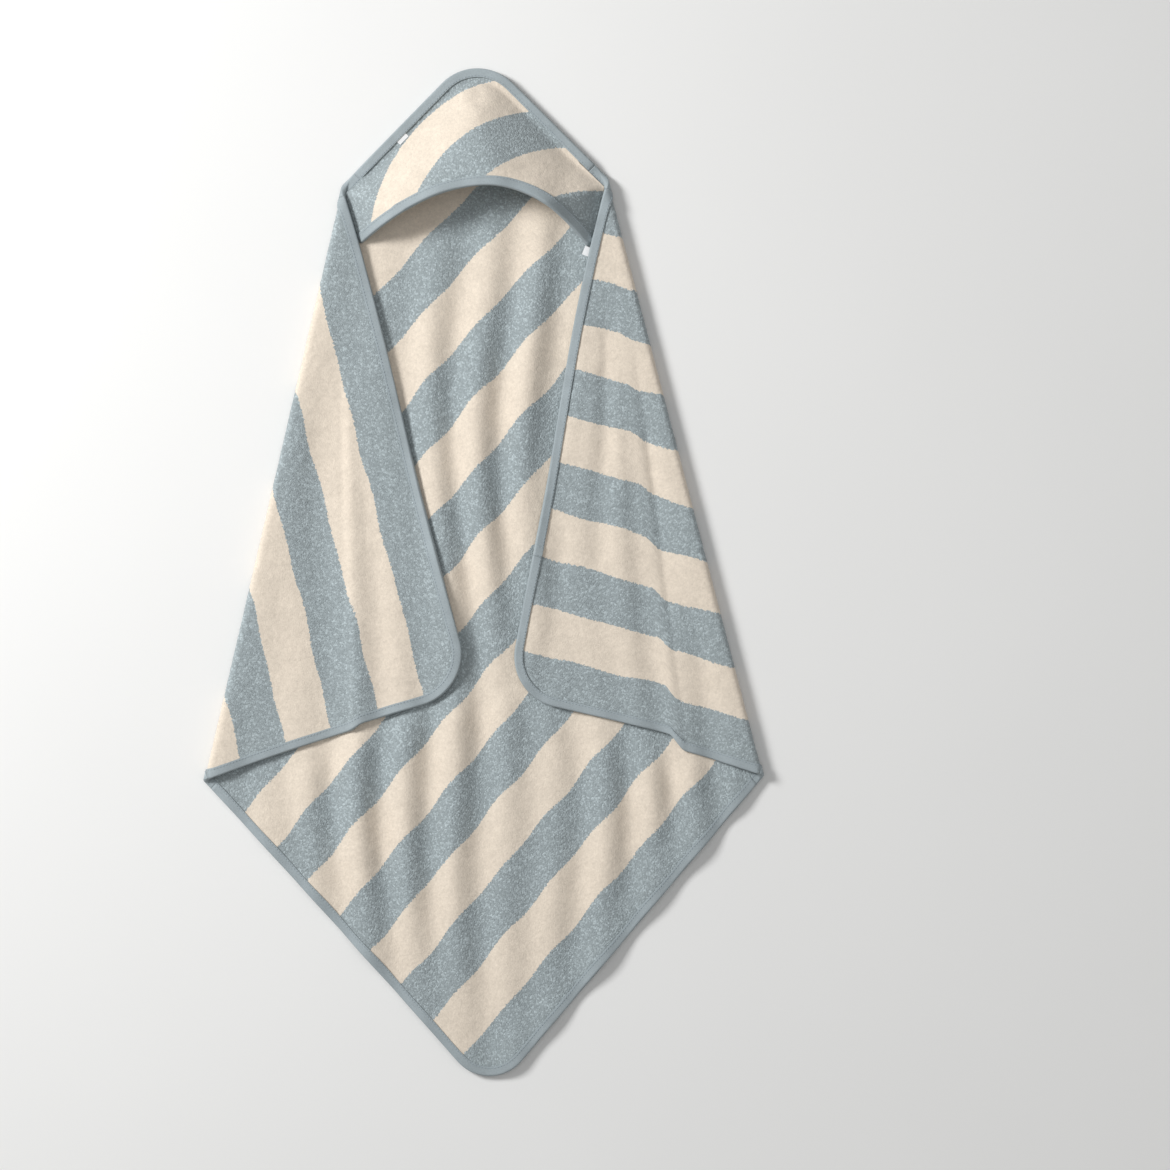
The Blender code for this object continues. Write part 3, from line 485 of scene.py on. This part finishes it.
def pile(count, seed):
    """How far each point of a face stands proud, as uneven loops do."""
    return PILE_HEIGHT * np.random.default_rng(seed).uniform(-0.5, 1.0, count)


class Sheet:
    """A whole sheet of cloth before it is split: points and normals of both faces, places in the weave."""

    def __init__(self, middle, faces, place, stripe, rim_depth, seed, thickness=SHEET_THICKNESS):
        normals = vertex_normals(middle, faces)
        free = smooth(rim_depth / PILE_EDGE)
        above = thickness / 2 + pile(len(middle), seed) * free
        below = thickness / 2 + pile(len(middle), seed + 1) * free
        self.faces = faces
        self.top = middle + normals * above[:, None]
        self.bottom = middle - normals * below[:, None]
        self.top_normals = vertex_normals(self.top, faces)
        self.bottom_normals = vertex_normals(self.bottom, faces[:, ::-1])
        self.place = place
        self.stripe = stripe

    def piece(self, name, chosen, material):
        """The chosen faces as one closed mesh, shaded as part of the whole."""
        faces = self.faces[chosen]
        used, faces = np.unique(faces, return_inverse=True)
        faces = faces.reshape(-1, 3)
        count = len(used)
        sides = np.concatenate([faces[:, [0, 1]], faces[:, [1, 2]], faces[:, [2, 0]]])
        codes = np.sort(sides, 1) @ [count, 1]
        _, first, times = np.unique(codes, return_index=True, return_counts=True)
        rim = sides[first[times == 1]]
        walls = np.column_stack([rim[:, 1], rim[:, 0], rim[:, 0] + count, rim[:, 1] + count])
        points = np.vstack([self.top[used], self.bottom[used]])
        normals = np.vstack([self.top_normals[used], self.bottom_normals[used]])
        faces = faces.tolist() + (faces[:, ::-1] + count).tolist() + walls.tolist()
        thing = mesh_object(name, points, faces, material)
        mesh = thing.data
        place = np.tile(self.place[used], (2, 1))
        place[count:, 2] += UNDERSIDE_SHIFT
        add_attribute(mesh, "cloth_place", "FLOAT_VECTOR", "vector", place)
        add_attribute(mesh, "stripe", "FLOAT", "value", np.tile(self.stripe[used], 2))
        mesh.normals_split_custom_set_from_vertices(normals.tolist())
        return thing


def mesh_object(name, points, faces, material):
    """A smooth-shaded object with one material."""
    mesh = bpy.data.meshes.new(name)
    mesh.from_pydata(points.tolist(), [], faces)
    mesh.shade_smooth()
    mesh.materials.append(material)
    thing = bpy.data.objects.new(name, mesh)
    bpy.context.scene.collection.objects.link(thing)
    return thing


def add_attribute(mesh, name, kind, field, values):
    """Stores one value for each point, for the material to read."""
    attribute = mesh.attributes.new(name, kind, "POINT")
    attribute.data.foreach_set(field, np.asarray(values, np.float32).ravel())


def staggered(low, high, cell):
    """Points in staggered rows over a rectangle."""
    rows = np.arange(low[1], high[1], cell * math.sqrt(3) / 2)
    columns = np.arange(low[0], high[0], cell)
    grid = np.stack(np.meshgrid(columns, rows), -1)
    grid[1::2, :, 0] += cell / 2
    return grid.reshape(-1, 2)


def fold_rows(fold):
    """Plan points in close rows through one side fold."""
    count = round(2 * BORDER / FOLD_ROW_STEP)
    length = np.linalg.norm(fold.top - fold.end) + 8 * BORDER
    steps = np.arange(-4 * BORDER, length, FOLD_ROW_CELL)
    rows = []
    for row, past in enumerate(np.linspace(-BORDER, BORDER, count + 1)):
        start = fold.end + fold.outward * (past + BEND_HALF - FOLD_RADIUS)
        rows.append(start + fold.along * (steps + FOLD_ROW_CELL / 2 * (row % 2))[:, None])
    return np.vstack(rows)


def towel_stripe(plan, flat):
    """Stripes across the towel's cloth, counted from its upper left edge and swayed by the small folds."""
    u, v = flat[:, 0], flat[:, 1]
    past, _ = distance_past(plan)
    on_wing = smooth(past / 0.02)
    slack = relax(HALF_DIAGONAL - v + RIPPLE_LEAD)
    sway = STRIPE_SWAY * np.sin(ripple_wave(u, v) + 0.8) * slack * (1 - 0.4 * on_wing)
    sway += 0.6 * STRIPE_SWAY * np.sin(31.0 * u + 47.0 * v)
    return ((HALF_DIAGONAL - v + u) / math.sqrt(2) + sway) / STRIPE_WIDTH


def towel_sheet():
    """The whole towel cloth, both wings folded over."""
    steps = round(PERIMETER / CLOTH_CELL)
    outline = laid_edge(np.arange(steps) * PERIMETER / steps)
    inside = lay(staggered((-HALF_DIAGONAL, -HALF_DIAGONAL), (HALF_DIAGONAL, HALF_DIAGONAL), CLOTH_CELL))
    past, _ = distance_past(inside)
    inside = inside[np.abs(past) > BORDER + CLOTH_CELL / 2]
    inside = np.vstack([inside] + [fold_rows(fold) for fold in FOLDS])
    inside = inside[edge_depth(unlay(inside)) > CLOTH_CELL * 0.45]
    plan, faces = triangulated(np.vstack([outline, inside]), len(outline))
    flat = unlay(plan)
    place = np.column_stack([flat, np.zeros(len(flat))])
    stripe = towel_stripe(plan, flat)
    return Sheet(fold_over(plan), faces, place, stripe, edge_depth(flat), seed=11), plan[faces].mean(1)


def hood_stripe(plan):
    """Stripes of the hood, which run down from its right seam and bow with its dome."""
    tip = lay([0.0, HALF_DIAGONAL])
    edges = np.stack([RIGHT_FOLD.top - tip, LEFT_FOLD.top - tip], 1)
    edges /= np.linalg.norm(edges, axis=0)
    right, left = np.linalg.solve(edges, (plan - tip).T)
    bulge = HOOD_STRIPE_BULGE * 4 * left / HOOD_BULGE_LENGTH * (1 - left / HOOD_BULGE_LENGTH)
    rate = HOOD_STRIPE_RATE - HOOD_STRIPE_EASE * right + HOOD_STRIPE_TWIST * left
    return np.maximum(right * rate + bulge, 0.05)


def hood_sheet():
    """The hood's cloth, from its seam to its front edge."""
    front = hood_front(np.linspace(0, 1, 100))
    past, _ = distance_past(laid_edge(HOOD_TOP_WALKS))
    near_shoulder = smooth((past / BEND_HALF + 4.3) / 2.0)
    seam = laid_edge(HOOD_TOP_WALKS, HOOD_SEAM_UNDER_TAPE + TAPE_WIDTH * near_shoulder)
    outline = np.vstack([seam, LEFT_HOOD_SIDE[:-1], front, RIGHT_HOOD_SIDE[-2::-1]])
    inside = staggered(outline.min(0), outline.max(0), CLOTH_CELL * 0.8)
    ring = np.vstack([outline, outline[:1]])
    inside = inside[inside_outline(inside, outline)]
    inside = inside[distance_to_path(inside, ring) > CLOTH_CELL * 0.4]
    plan, faces = triangulated(np.vstack([outline, inside]), len(outline))
    surface = hood_surface(plan)
    depth = distance_to_path(plan, ring)
    return Sheet(surface, faces, surface + HOOD_WEAVE_SHIFT, hood_stripe(plan), depth, seed=31)


# ---------------------------------------------------------------- tape and stitches
class EdgeStrip:
    """Stations along a cloth edge, with points and normals of the cloth's middle at any inset."""

    def __init__(self, walks, place_at, surface):
        self.walks = walks
        self.place_at = place_at
        self.surface = surface

    def at(self, inset):
        """Middle of the cloth and its normal at every station, this far in from the edge."""
        plan = self.place_at(self.walks, inset)
        step = 0.0002
        east = self.surface(plan + [step, 0]) - self.surface(plan - [step, 0])
        north = self.surface(plan + [0, step]) - self.surface(plan - [0, step])
        normal = np.cross(east, north)
        return self.surface(plan), normal / np.linalg.norm(normal, axis=1, keepdims=True)

    def outward(self):
        """Directions out over the edge, in the cloth."""
        run = self.surface(self.place_at(self.walks, 0.0)) - self.surface(self.place_at(self.walks, 0.001))
        return run / np.linalg.norm(run, axis=1, keepdims=True)

    def seam(self, lift, side=1):
        """A line of stitches and its normals, this far above (1) or below (-1) the cloth's middle."""
        middle, normal = self.at(STITCH_FROM_EDGE)
        return middle + normal * (side * lift)[:, None], normal * side


FACE_INSETS = (TAPE_WIDTH, 0.0079, 0.0068, 0.0050, 0.0030, 0.0012)
ROUND_TURNS = np.radians([90, 60, 30, 0, -30, -60, -90])


def tape_wall(strip, up, down, over, pucker):
    """Points of one face of the tape: along the top, round the edge and back below, at every station."""
    rows = []
    for side, reach in ((1, up), (-1, down)):
        face = []
        for inset in FACE_INSETS:
            middle, normal = strip.at(inset)
            lift = reach + pucker * smooth((inset - PUCKER_START) / PUCKER_LENGTH)
            face.append(middle + normal * (side * lift)[:, None])
        rows.append(face)
    edge, normal = strip.at(0.0)
    outward = strip.outward()
    centre, radius = (up - down) / 2, (up + down) / 2
    turned = [
        edge + outward * (over * math.cos(turn)) + normal * (centre + radius * math.sin(turn))[:, None]
        for turn in ROUND_TURNS
    ]
    return np.stack(rows[0] + turned + rows[1][::-1], 1)


def tape_sheet(strip, up, down):
    """The closed profile of the tape at every station, as (stations, points round, 3)."""
    turn = 2 * math.pi * strip.walks / PERIMETER
    pucker = TAPE_PUCKER * np.sin(424 * turn) * np.sin(70 * turn + 1)
    half = TAPE_THICKNESS / 2
    outer = tape_wall(strip, up + half, down + half, TAPE_OVER_EDGE, pucker)
    inner = tape_wall(strip, up - half, down - half, TAPE_OVER_EDGE - TAPE_THICKNESS, pucker)
    return np.concatenate([outer, inner[:, ::-1]], 1)


def tape_piece(name, rings, walks, material):
    """Tape through the rings of points, capped at both ends."""
    count, around = rings.shape[:2]
    step, side = np.meshgrid(np.arange(count - 1), np.arange(around), indexing="ij")
    here, there = step * around + side, step * around + (side + 1) % around
    faces = np.stack([here, there, there + around, here + around], -1).reshape(-1, 4).tolist()
    last = (count - 1) * around
    for index in range(around // 2 - 1):
        cap = [index, index + 1, around - 2 - index, around - 1 - index]
        faces += [cap[::-1], [last + corner for corner in cap]]
    thing = mesh_object(name, rings.reshape(-1, 3), faces, material)
    for face in thing.data.polygons[(count - 1) * around:]:
        face.use_smooth = False
    along, across = np.repeat(walks, around), np.tile(np.linspace(0, TAPE_ROUND, around), count)
    place = np.column_stack([along, across, np.zeros(count * around)])
    add_attribute(thing.data, "cloth_place", "FLOAT_VECTOR", "vector", place)
    return thing


def stitch_tubes(middle, normal):
    """Thread surfaces along one row, as (stitches, stations, points round, 3)."""
    turns = np.linspace(0, 2 * math.pi, STITCH_SIDES, endpoint=False)
    shares = np.linspace(0, 1, len(STITCH_PROFILE))
    rise = np.sin(shares * math.pi) ** 0.5 * 1.5 - 0.9
    radius = STITCH_RADIUS * np.array(STITCH_PROFILE)
    run = np.concatenate([[0], np.cumsum(np.linalg.norm(np.diff(middle, axis=0), axis=1))])
    starts = np.arange(STITCH_GAP / 2, run[-1] - STITCH_LENGTH, STITCH_LENGTH + STITCH_GAP)
    along = starts[:, None] + shares * STITCH_LENGTH
    centre = np.stack([np.interp(along, run, middle[:, axis]) for axis in range(3)], -1)
    up = np.stack([np.interp(along, run, normal[:, axis]) for axis in range(3)], -1)
    side = np.cross(np.gradient(centre, axis=1), up)
    side /= np.maximum(np.linalg.norm(side, axis=-1, keepdims=True), 1e-9)
    centre = centre + up * (rise * STITCH_RADIUS)[None, :, None]
    ring = up[:, :, None] * np.sin(turns)[:, None] + side[:, :, None] * np.cos(turns)[:, None]
    return centre[:, :, None] + ring * radius[None, :, None, None]


def stitches(name, rows, material):
    """Separate stitches along rows of points, each a short thread with both ends down in the tape."""
    tubes = np.concatenate([stitch_tubes(middle, normal) for middle, normal in rows])
    size = len(STITCH_PROFILE) * STITCH_SIDES
    faces = []
    for base in range(0, len(tubes) * size, size):
        for ring in range(base, base + size - STITCH_SIDES, STITCH_SIDES):
            for side in range(STITCH_SIDES):
                here, there = ring + side, ring + (side + 1) % STITCH_SIDES
                faces.append((here, there, there + STITCH_SIDES, here + STITCH_SIDES))
        faces.append(tuple(base + side for side in reversed(range(STITCH_SIDES))))
        faces.append(tuple(base + size - STITCH_SIDES + side for side in range(STITCH_SIDES)))
    return mesh_object(name, tubes.reshape(-1, 3), faces, material)


def bend_reach(walk, fold):
    """How far along the edge, either side of a fold's end, the cloth is bent."""
    before, after = laid_edge([walk - 0.002, walk + 0.002])
    return BEND_CLEAR * np.linalg.norm(after - before) / abs((after - before) @ fold.outward)


def edge_sections():
    """The towel's edge in eight stretches: name, first walk, last walk, and the bodies it is on."""
    corners = (
        ("left_shoulder", LEFT_FOLD_WALKS[0], LEFT_FOLD, "left_wing"),
        ("left_hip", LEFT_FOLD_WALKS[1], LEFT_FOLD, "left_wing"),
        ("right_hip", RIGHT_FOLD_WALKS[1], RIGHT_FOLD, "right_wing"),
        ("right_shoulder", RIGHT_FOLD_WALKS[0], RIGHT_FOLD, "right_wing"),
    )
    bends = []
    for name, walk, fold, wing in corners:
        reach = bend_reach(walk, fold)
        bends.append((name, walk - reach, walk + reach, ("back", wing)))
    ends = [bend[1] for bend in bends[1:]] + [bends[0][1] + PERIMETER]
    names = ("left_wing", "bottom", "right_wing", "top")
    bodies = ("left_wing", "back", "right_wing", "back")
    between = [(name, bend[2], end, (body,)) for name, bend, end, body in zip(names, bends, ends, bodies)]
    return bends + between


# ---------------------------------------------------------------- materials
class Nodes:
    """A new Principled material and short calls for its nodes."""

    def __init__(self, name):
        self.material = bpy.data.materials.new(name)
        self.material.use_nodes = True
        self.tree = self.material.node_tree
        self.shader = self.tree.nodes["Principled BSDF"]

    def add(self, kind, inputs=None, **settings):
        """A node with its inputs linked or set, and its settings."""
        node = self.tree.nodes.new(kind)
        for name, value in settings.items():
            setattr(node, name, value)
        for name, value in (inputs or {}).items():
            if hasattr(value, "is_output"):
                self.tree.links.new(value, node.inputs[name])
            else:
                node.inputs[name].default_value = value
        return node

    def math(self, operation, first, second=0.0):
        """The result of one operation on two values."""
        return self.add("ShaderNodeMath", {0: first, 1: second}, operation=operation).outputs[0]

    def mix(self, factor, first, second, blend_type="MIX"):
        """Two colours mixed."""
        inputs = {0: factor, 6: first, 7: second}
        return self.add("ShaderNodeMix", inputs, data_type="RGBA", blend_type=blend_type).outputs[2]

    def shaded(self, colour, shade):
        """A colour times a grey value."""
        grey = self.add("ShaderNodeCombineColor", {0: shade, 1: shade, 2: shade}).outputs[0]
        return self.mix(1.0, colour, grey, "MULTIPLY")

    def ramp(self, value, low, high, from_low=0.0, from_high=1.0):
        """The value moved from one range to another."""
        inputs = {0: value, 1: from_low, 2: from_high, 3: low, 4: high}
        return self.add("ShaderNodeMapRange", inputs).outputs[0]

    def noise(self, place, scale, detail=2.0):
        """Soft noise, from 0 to 1."""
        inputs = {"Vector": place, "Scale": scale, "Detail": detail}
        return self.add("ShaderNodeTexNoise", inputs).outputs[0]

    def rib(self, place, direction, **inputs):
        """Parallel ribs, from 0 to 1."""
        inputs["Vector"] = place
        return self.add("ShaderNodeTexWave", inputs, bands_direction=direction).outputs[0]

    def to(self, name, value):
        """Links or sets one of the shader's inputs."""
        if hasattr(value, "is_output"):
            self.tree.links.new(value, self.shader.inputs[name])
        else:
            self.shader.inputs[name].default_value = value

    def bump(self, height, distance, strength):
        """Fine relief from a height."""
        inputs = {"Height": height, "Distance": distance, "Strength": strength}
        self.to("Normal", self.add("ShaderNodeBump", inputs).outputs[0])


def terry_material():
    """Cream and grey-blue stripes of uneven loops."""
    n = Nodes("striped_terry")
    place = n.add("ShaderNodeAttribute", attribute_name="cloth_place").outputs["Vector"]
    stripe = n.add("ShaderNodeAttribute", attribute_name="stripe").outputs["Fac"]
    ragged = n.ramp(n.noise(place, 520.0, 1.0), -0.045, 0.045)
    above_zero = n.math("ADD", n.math("ADD", stripe, ragged), 20.0)
    which = n.math("LESS_THAN", n.math("MODULO", above_zero, 2.0), 1.0)
    loops = n.add("ShaderNodeTexVoronoi", {"Vector": place, "Scale": 640.0})
    own = n.add("ShaderNodeSeparateColor", {0: loops.outputs["Color"]}).outputs[0]
    patches = n.noise(place, 55.0, 3.0)
    tufts = n.noise(place, 260.0, 3.0)
    colour = n.mix(which, (*CREAM, 1), (*BLUE, 1))
    blue_depth = n.ramp(n.math("POWER", own, 3.0), 0.86, 1.42)
    cream_depth = n.ramp(own, 0.95, 1.05)
    shade = n.add("ShaderNodeMix", {0: which, 2: cream_depth, 3: blue_depth}, data_type="FLOAT").outputs[0]
    shade = n.math("MULTIPLY", shade, n.ramp(patches, 0.96, 1.04, 0.3, 0.7))
    shade = n.math("MULTIPLY", shade, n.ramp(tufts, 0.95, 1.05, 0.3, 0.7))
    n.to("Base Color", n.shaded(colour, shade))
    n.to("Roughness", n.ramp(own, 0.88, 1.0))
    n.to("Sheen Weight", 0.25)
    n.to("Sheen Roughness", 0.6)
    n.to("Specular IOR Level", 0.15)
    loop_height = n.ramp(loops.outputs["Distance"], 0.9, 0.0, 0.0, 0.7)
    height = n.math("ADD", n.math("MULTIPLY", tufts, 1.2), loop_height)
    n.bump(height, 0.0008, n.ramp(which, 0.25, 0.60))
    return n.material


def tape_material():
    """Smooth woven tape with a fine rib across it."""
    n = Nodes("binding_tape")
    place = n.add("ShaderNodeAttribute", attribute_name="cloth_place").outputs["Vector"]
    rib = n.rib(place, "X", Scale=420.0, Distortion=1.5, Detail=2.0)
    patches = n.noise(place, 45.0, 3.0)
    fine = n.noise(place, 900.0, 2.0)
    shade = n.math("MULTIPLY", n.ramp(patches, 0.93, 1.08, 0.3, 0.7), n.ramp(fine, 0.90, 1.08, 0.3, 0.7))
    shade = n.math("MULTIPLY", shade, n.ramp(rib, 0.95, 1.03))
    n.to("Base Color", n.shaded((*TAPE_BLUE, 1), shade))
    n.to("Roughness", n.ramp(fine, 0.62, 0.82))
    n.to("Sheen Weight", 0.12)
    n.to("Specular IOR Level", 0.3)
    n.bump(n.math("ADD", n.math("MULTIPLY", rib, 0.5), fine), 0.0003, 0.5)
    return n.material


def thread_material():
    """Twisted sewing thread."""
    n = Nodes("sewing_thread")
    place = n.add("ShaderNodeTexCoord").outputs["Object"]
    fine = n.noise(place, 1400.0, 2.0)
    lighter = tuple(1.25 * part for part in THREAD_BLUE)
    n.to("Base Color", n.mix(fine, (*THREAD_BLUE, 1), (*lighter, 1)))
    n.to("Roughness", n.ramp(fine, 0.5, 0.75))
    n.bump(fine, 0.0002, 0.5)
    return n.material


def label_material():
    """White woven satin label cloth, left blank."""
    n = Nodes("label_cloth")
    place = n.add("ShaderNodeTexCoord").outputs["Object"]
    weave = n.rib(place, "DIAGONAL", Scale=700.0, Distortion=0.6)
    soiled = n.noise(place, 120.0, 2.0)
    n.to("Base Color", n.mix(n.ramp(soiled, 0.0, 0.25), (*LABEL_WHITE, 1), (*LABEL_SHADE, 1)))
    n.to("Roughness", n.ramp(weave, 0.45, 0.65))
    n.to("Sheen Weight", 0.1)
    n.bump(weave, 0.0002, 0.4)
    return n.material


def floor_material():
    """Pale matt studio floor."""
    n = Nodes("studio_floor")
    place = n.add("ShaderNodeTexCoord").outputs["Object"]
    lighter = tuple(1.03 * part for part in FLOOR_GREY)
    n.to("Base Color", n.mix(n.noise(place, 3.0), (*FLOOR_GREY, 1), (*lighter, 1)))
    n.to("Roughness", 0.9)
    return n.material


def carry(piece, bodies):
    """Puts a piece on its body, or, when it lies between two bodies, bakes its transform into its mesh."""
    if len(bodies) == 1:
        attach(piece, bodies[0])
    else:
        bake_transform(piece)


def make_towel(material):
    """The cloth in five pieces: the back, a strip round each fold, and the wings."""
    sheet, centres = towel_sheet()
    past, on_left = distance_past(centres)
    bent = np.abs(past) <= BORDER
    parts = (
        ("back_cloth", past < -BORDER, ("back",), ("back_panel",), None),
        ("left_fold_cloth", bent & on_left, ("back", "left_wing"), (), LEFT_FOLD),
        ("right_fold_cloth", bent & ~on_left, ("back", "right_wing"), (), RIGHT_FOLD),
        ("left_wing_cloth", (past > BORDER) & on_left, ("left_wing",), ("left_wing_panel",), None),
        ("right_wing_cloth", (past > BORDER) & ~on_left, ("right_wing",), ("right_wing_panel",), None),
    )
    for name, chosen, bodies, nodes, fold in parts:
        piece = sheet.piece(name, chosen, material)
        carry(piece, bodies)
        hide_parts(*nodes)


def make_hood(material):
    """The hood's cloth, cut from a corner with two legs."""
    sheet = hood_sheet()
    piece = sheet.piece("hood_cloth", np.ones(len(sheet.faces), bool), material)
    carry(piece, ("back",))
    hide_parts("hood_panel")


def edge_tape(walks):
    """The tape's reach above the cloth: higher where it also holds the hood."""
    past, _ = distance_past(laid_edge(walks))
    on_hood = np.minimum(walks % PERIMETER, PERIMETER - walks % PERIMETER) < LEFT_SHOULDER
    return TAPE_REACH + HOOD_STEP * smooth((-past / BEND_HALF - 1.0) / 1.2) * on_hood


def make_edges(tape, thread):
    """Tape and stitches along the towel's edge, section by section."""
    for name, first, last, bodies in edge_sections():
        station = TAPE_STATION if len(bodies) == 1 else BEND_STATION
        walks = np.linspace(first, last, round((last - first) / station) + 1)
        strip = EdgeStrip(walks, laid_edge, fold_over)
        up, down = edge_tape(walks), np.full(len(walks), TAPE_REACH)
        piece = tape_piece(f"{name}_tape", tape_sheet(strip, up, down), walks, tape)
        carry(piece, bodies)
        rows = [strip.seam(up + TAPE_THICKNESS / 2), strip.seam(down + TAPE_THICKNESS / 2, -1)]
        sewn = stitches(f"{name}_stitches", rows, thread)
        carry(sewn, bodies)
        bent = len(bodies) == 2  # and stands for no CAD node
        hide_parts(*([] if bent else [f"{name}_binding"]))
        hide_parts(*([] if bent else [f"{name}_stitching"]))


def make_hood_front(tape, thread):
    """Tape and stitches on the hood's front edge."""
    shares = np.linspace(0.005, 0.995, 100)
    strip = EdgeStrip(shares, hood_front, hood_surface)
    reach = np.full(len(shares), TAPE_REACH)
    piece = tape_piece("hood_front_tape", tape_sheet(strip, reach, reach), shares * HOOD_FRONT_WALK, tape)
    carry(piece, ("back",))
    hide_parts("hood_front_binding")
    sewn = stitches("hood_front_stitches", [strip.seam(reach + TAPE_THICKNESS / 2)], thread)
    carry(sewn, ("back",))
    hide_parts("hood_front_stitching")


def make_join(tape, thread):
    """The overlap of the tape's two ends on the right wing, with two rows of stitches across it."""
    centre = RIGHT_FOLD_WALKS[0] - JOIN_FROM_SHOULDER
    walks = np.linspace(centre - JOIN_LENGTH / 2, centre + JOIN_LENGTH / 2, OVERLAP_STATIONS)
    strip = EdgeStrip(walks, laid_edge, fold_over)
    reach = np.full(len(walks), TAPE_REACH) + (TAPE_THICKNESS - OVERLAP_SINK)
    lift = reach[0] + TAPE_THICKNESS / 2
    reach[[0, -1]] -= OVERLAP_END_DIP
    piece = tape_piece("right_wing_tape_overlap", tape_sheet(strip, reach, reach), walks, tape)
    carry(piece, ("right_wing",))
    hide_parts("right_wing_tape_join")
    middles, normals = zip(*(strip.at(inset) for inset in OVERLAP_INSETS))
    rows = []
    for station in (1, OVERLAP_STATIONS - 2):
        middle = np.array([points[station] for points in middles])
        normal = np.array([directions[station] for directions in normals])
        rows += [(middle + side * normal * lift, side * normal) for side in (1, -1)]
    sewn = stitches("tape_overlap_stitches", rows, thread)
    carry(sewn, ("right_wing",))


def make_label(name, surface, centre, along, material):
    """A blank label sewn flat on the cloth, its long side along the given direction."""
    across = np.array([-along[1], along[0]])
    shares = np.meshgrid(np.linspace(-0.5, 0.5, LABEL_COLUMNS), np.linspace(-0.5, 0.5, LABEL_ROWS))
    length, width = shares[0].ravel() * LABEL_LENGTH, shares[1].ravel() * LABEL_WIDTH
    on_cloth = surface(centre + length[:, None] * along + width[:, None] * across)
    corner = np.arange(LABEL_ROWS - 1)[:, None] * LABEL_COLUMNS + np.arange(LABEL_COLUMNS - 1)
    corner = corner.ravel()
    opposite = corner + LABEL_COLUMNS + 1
    faces = np.vstack([
        np.column_stack([corner, corner + 1, opposite]),
        np.column_stack([corner, opposite, opposite - 1]),
    ])
    middle = on_cloth + vertex_normals(on_cloth, faces) * LABEL_LIFT
    none = np.zeros(len(middle))
    place = np.column_stack([length, width, none])
    sheet = Sheet(middle, faces, place, none, none, seed=0, thickness=LABEL_THICKNESS)
    piece = sheet.piece(f"{name}_cloth", np.ones(len(faces), bool), material)
    carry(piece, ("back",))
    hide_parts(name)


def make_labels(material):
    """The small label in the hood's left seam and the one at its right end."""
    middle, inset = LABEL_FROM_TIP + LABEL_LENGTH / 2, TAPE_WIDTH + 0.2 * LABEL_WIDTH
    walks = np.array([middle - 0.005, middle, middle + 0.005]) - CORNER_SKIP
    start, centre, end = laid_edge(walks, inset)
    make_label("seam_label", hood_surface, centre, (end - start) / np.linalg.norm(end - start), material)
    centre = RIGHT_HOOD_SIDE[-1] - CARE_LABEL_OFFSET
    make_label("care_label", fold_over, centre, np.array(CARE_LABEL_ALONG), material)


# ---------------------------------------------------------------- the studio
def add_light(name, place, size, energy):
    """A square area light that points at the middle of the towel."""
    data = bpy.data.lights.new(name, "AREA")
    data.energy = energy
    data.size = size
    lamp = bpy.data.objects.new(name, data)
    lamp.location = place
    right, forward, up = -np.array(place)
    tilt = math.atan2(math.hypot(right, forward), -up)
    lamp.rotation_euler = (tilt, 0, math.atan2(right, -forward) + math.pi)
    bpy.context.scene.collection.objects.link(lamp)


def build_studio():
    """Floor, lights, world and the camera straight above."""
    bpy.ops.mesh.primitive_plane_add(size=FLOOR_SIZE, location=(0, 0, FLOOR_LEVEL))
    floor = bpy.context.object
    floor.name = "floor"
    floor.data.materials.append(floor_material())
    for light in LIGHTS:
        add_light(*light)
    scene = bpy.context.scene
    scene.world = bpy.data.worlds.new("studio")
    scene.world.use_nodes = True
    background = scene.world.node_tree.nodes["Background"]
    background.inputs["Color"].default_value = (1, 1, 1, 1)
    background.inputs["Strength"].default_value = WORLD_STRENGTH
    scene.view_settings.view_transform = "Standard"
    data = bpy.data.cameras.new("camera")
    data.sensor_width = SENSOR_WIDTH
    data.lens = SENSOR_WIDTH * CAMERA_HEIGHT / FRAME_WIDTH
    camera = bpy.data.objects.new("camera", data)
    camera.location = (*FRAME_CENTRE, CAMERA_HEIGHT)
    scene.collection.objects.link(camera)
    scene.camera = camera


# ---------------------------------------------------------------- everything, in order
TERRY, TAPE, THREAD, LABEL = terry_material(), tape_material(), thread_material(), label_material()
make_towel(TERRY)
make_hood(TERRY)
make_edges(TAPE, THREAD)
make_hood_front(TAPE, THREAD)
make_join(TAPE, THREAD)
make_labels(LABEL)
build_studio()
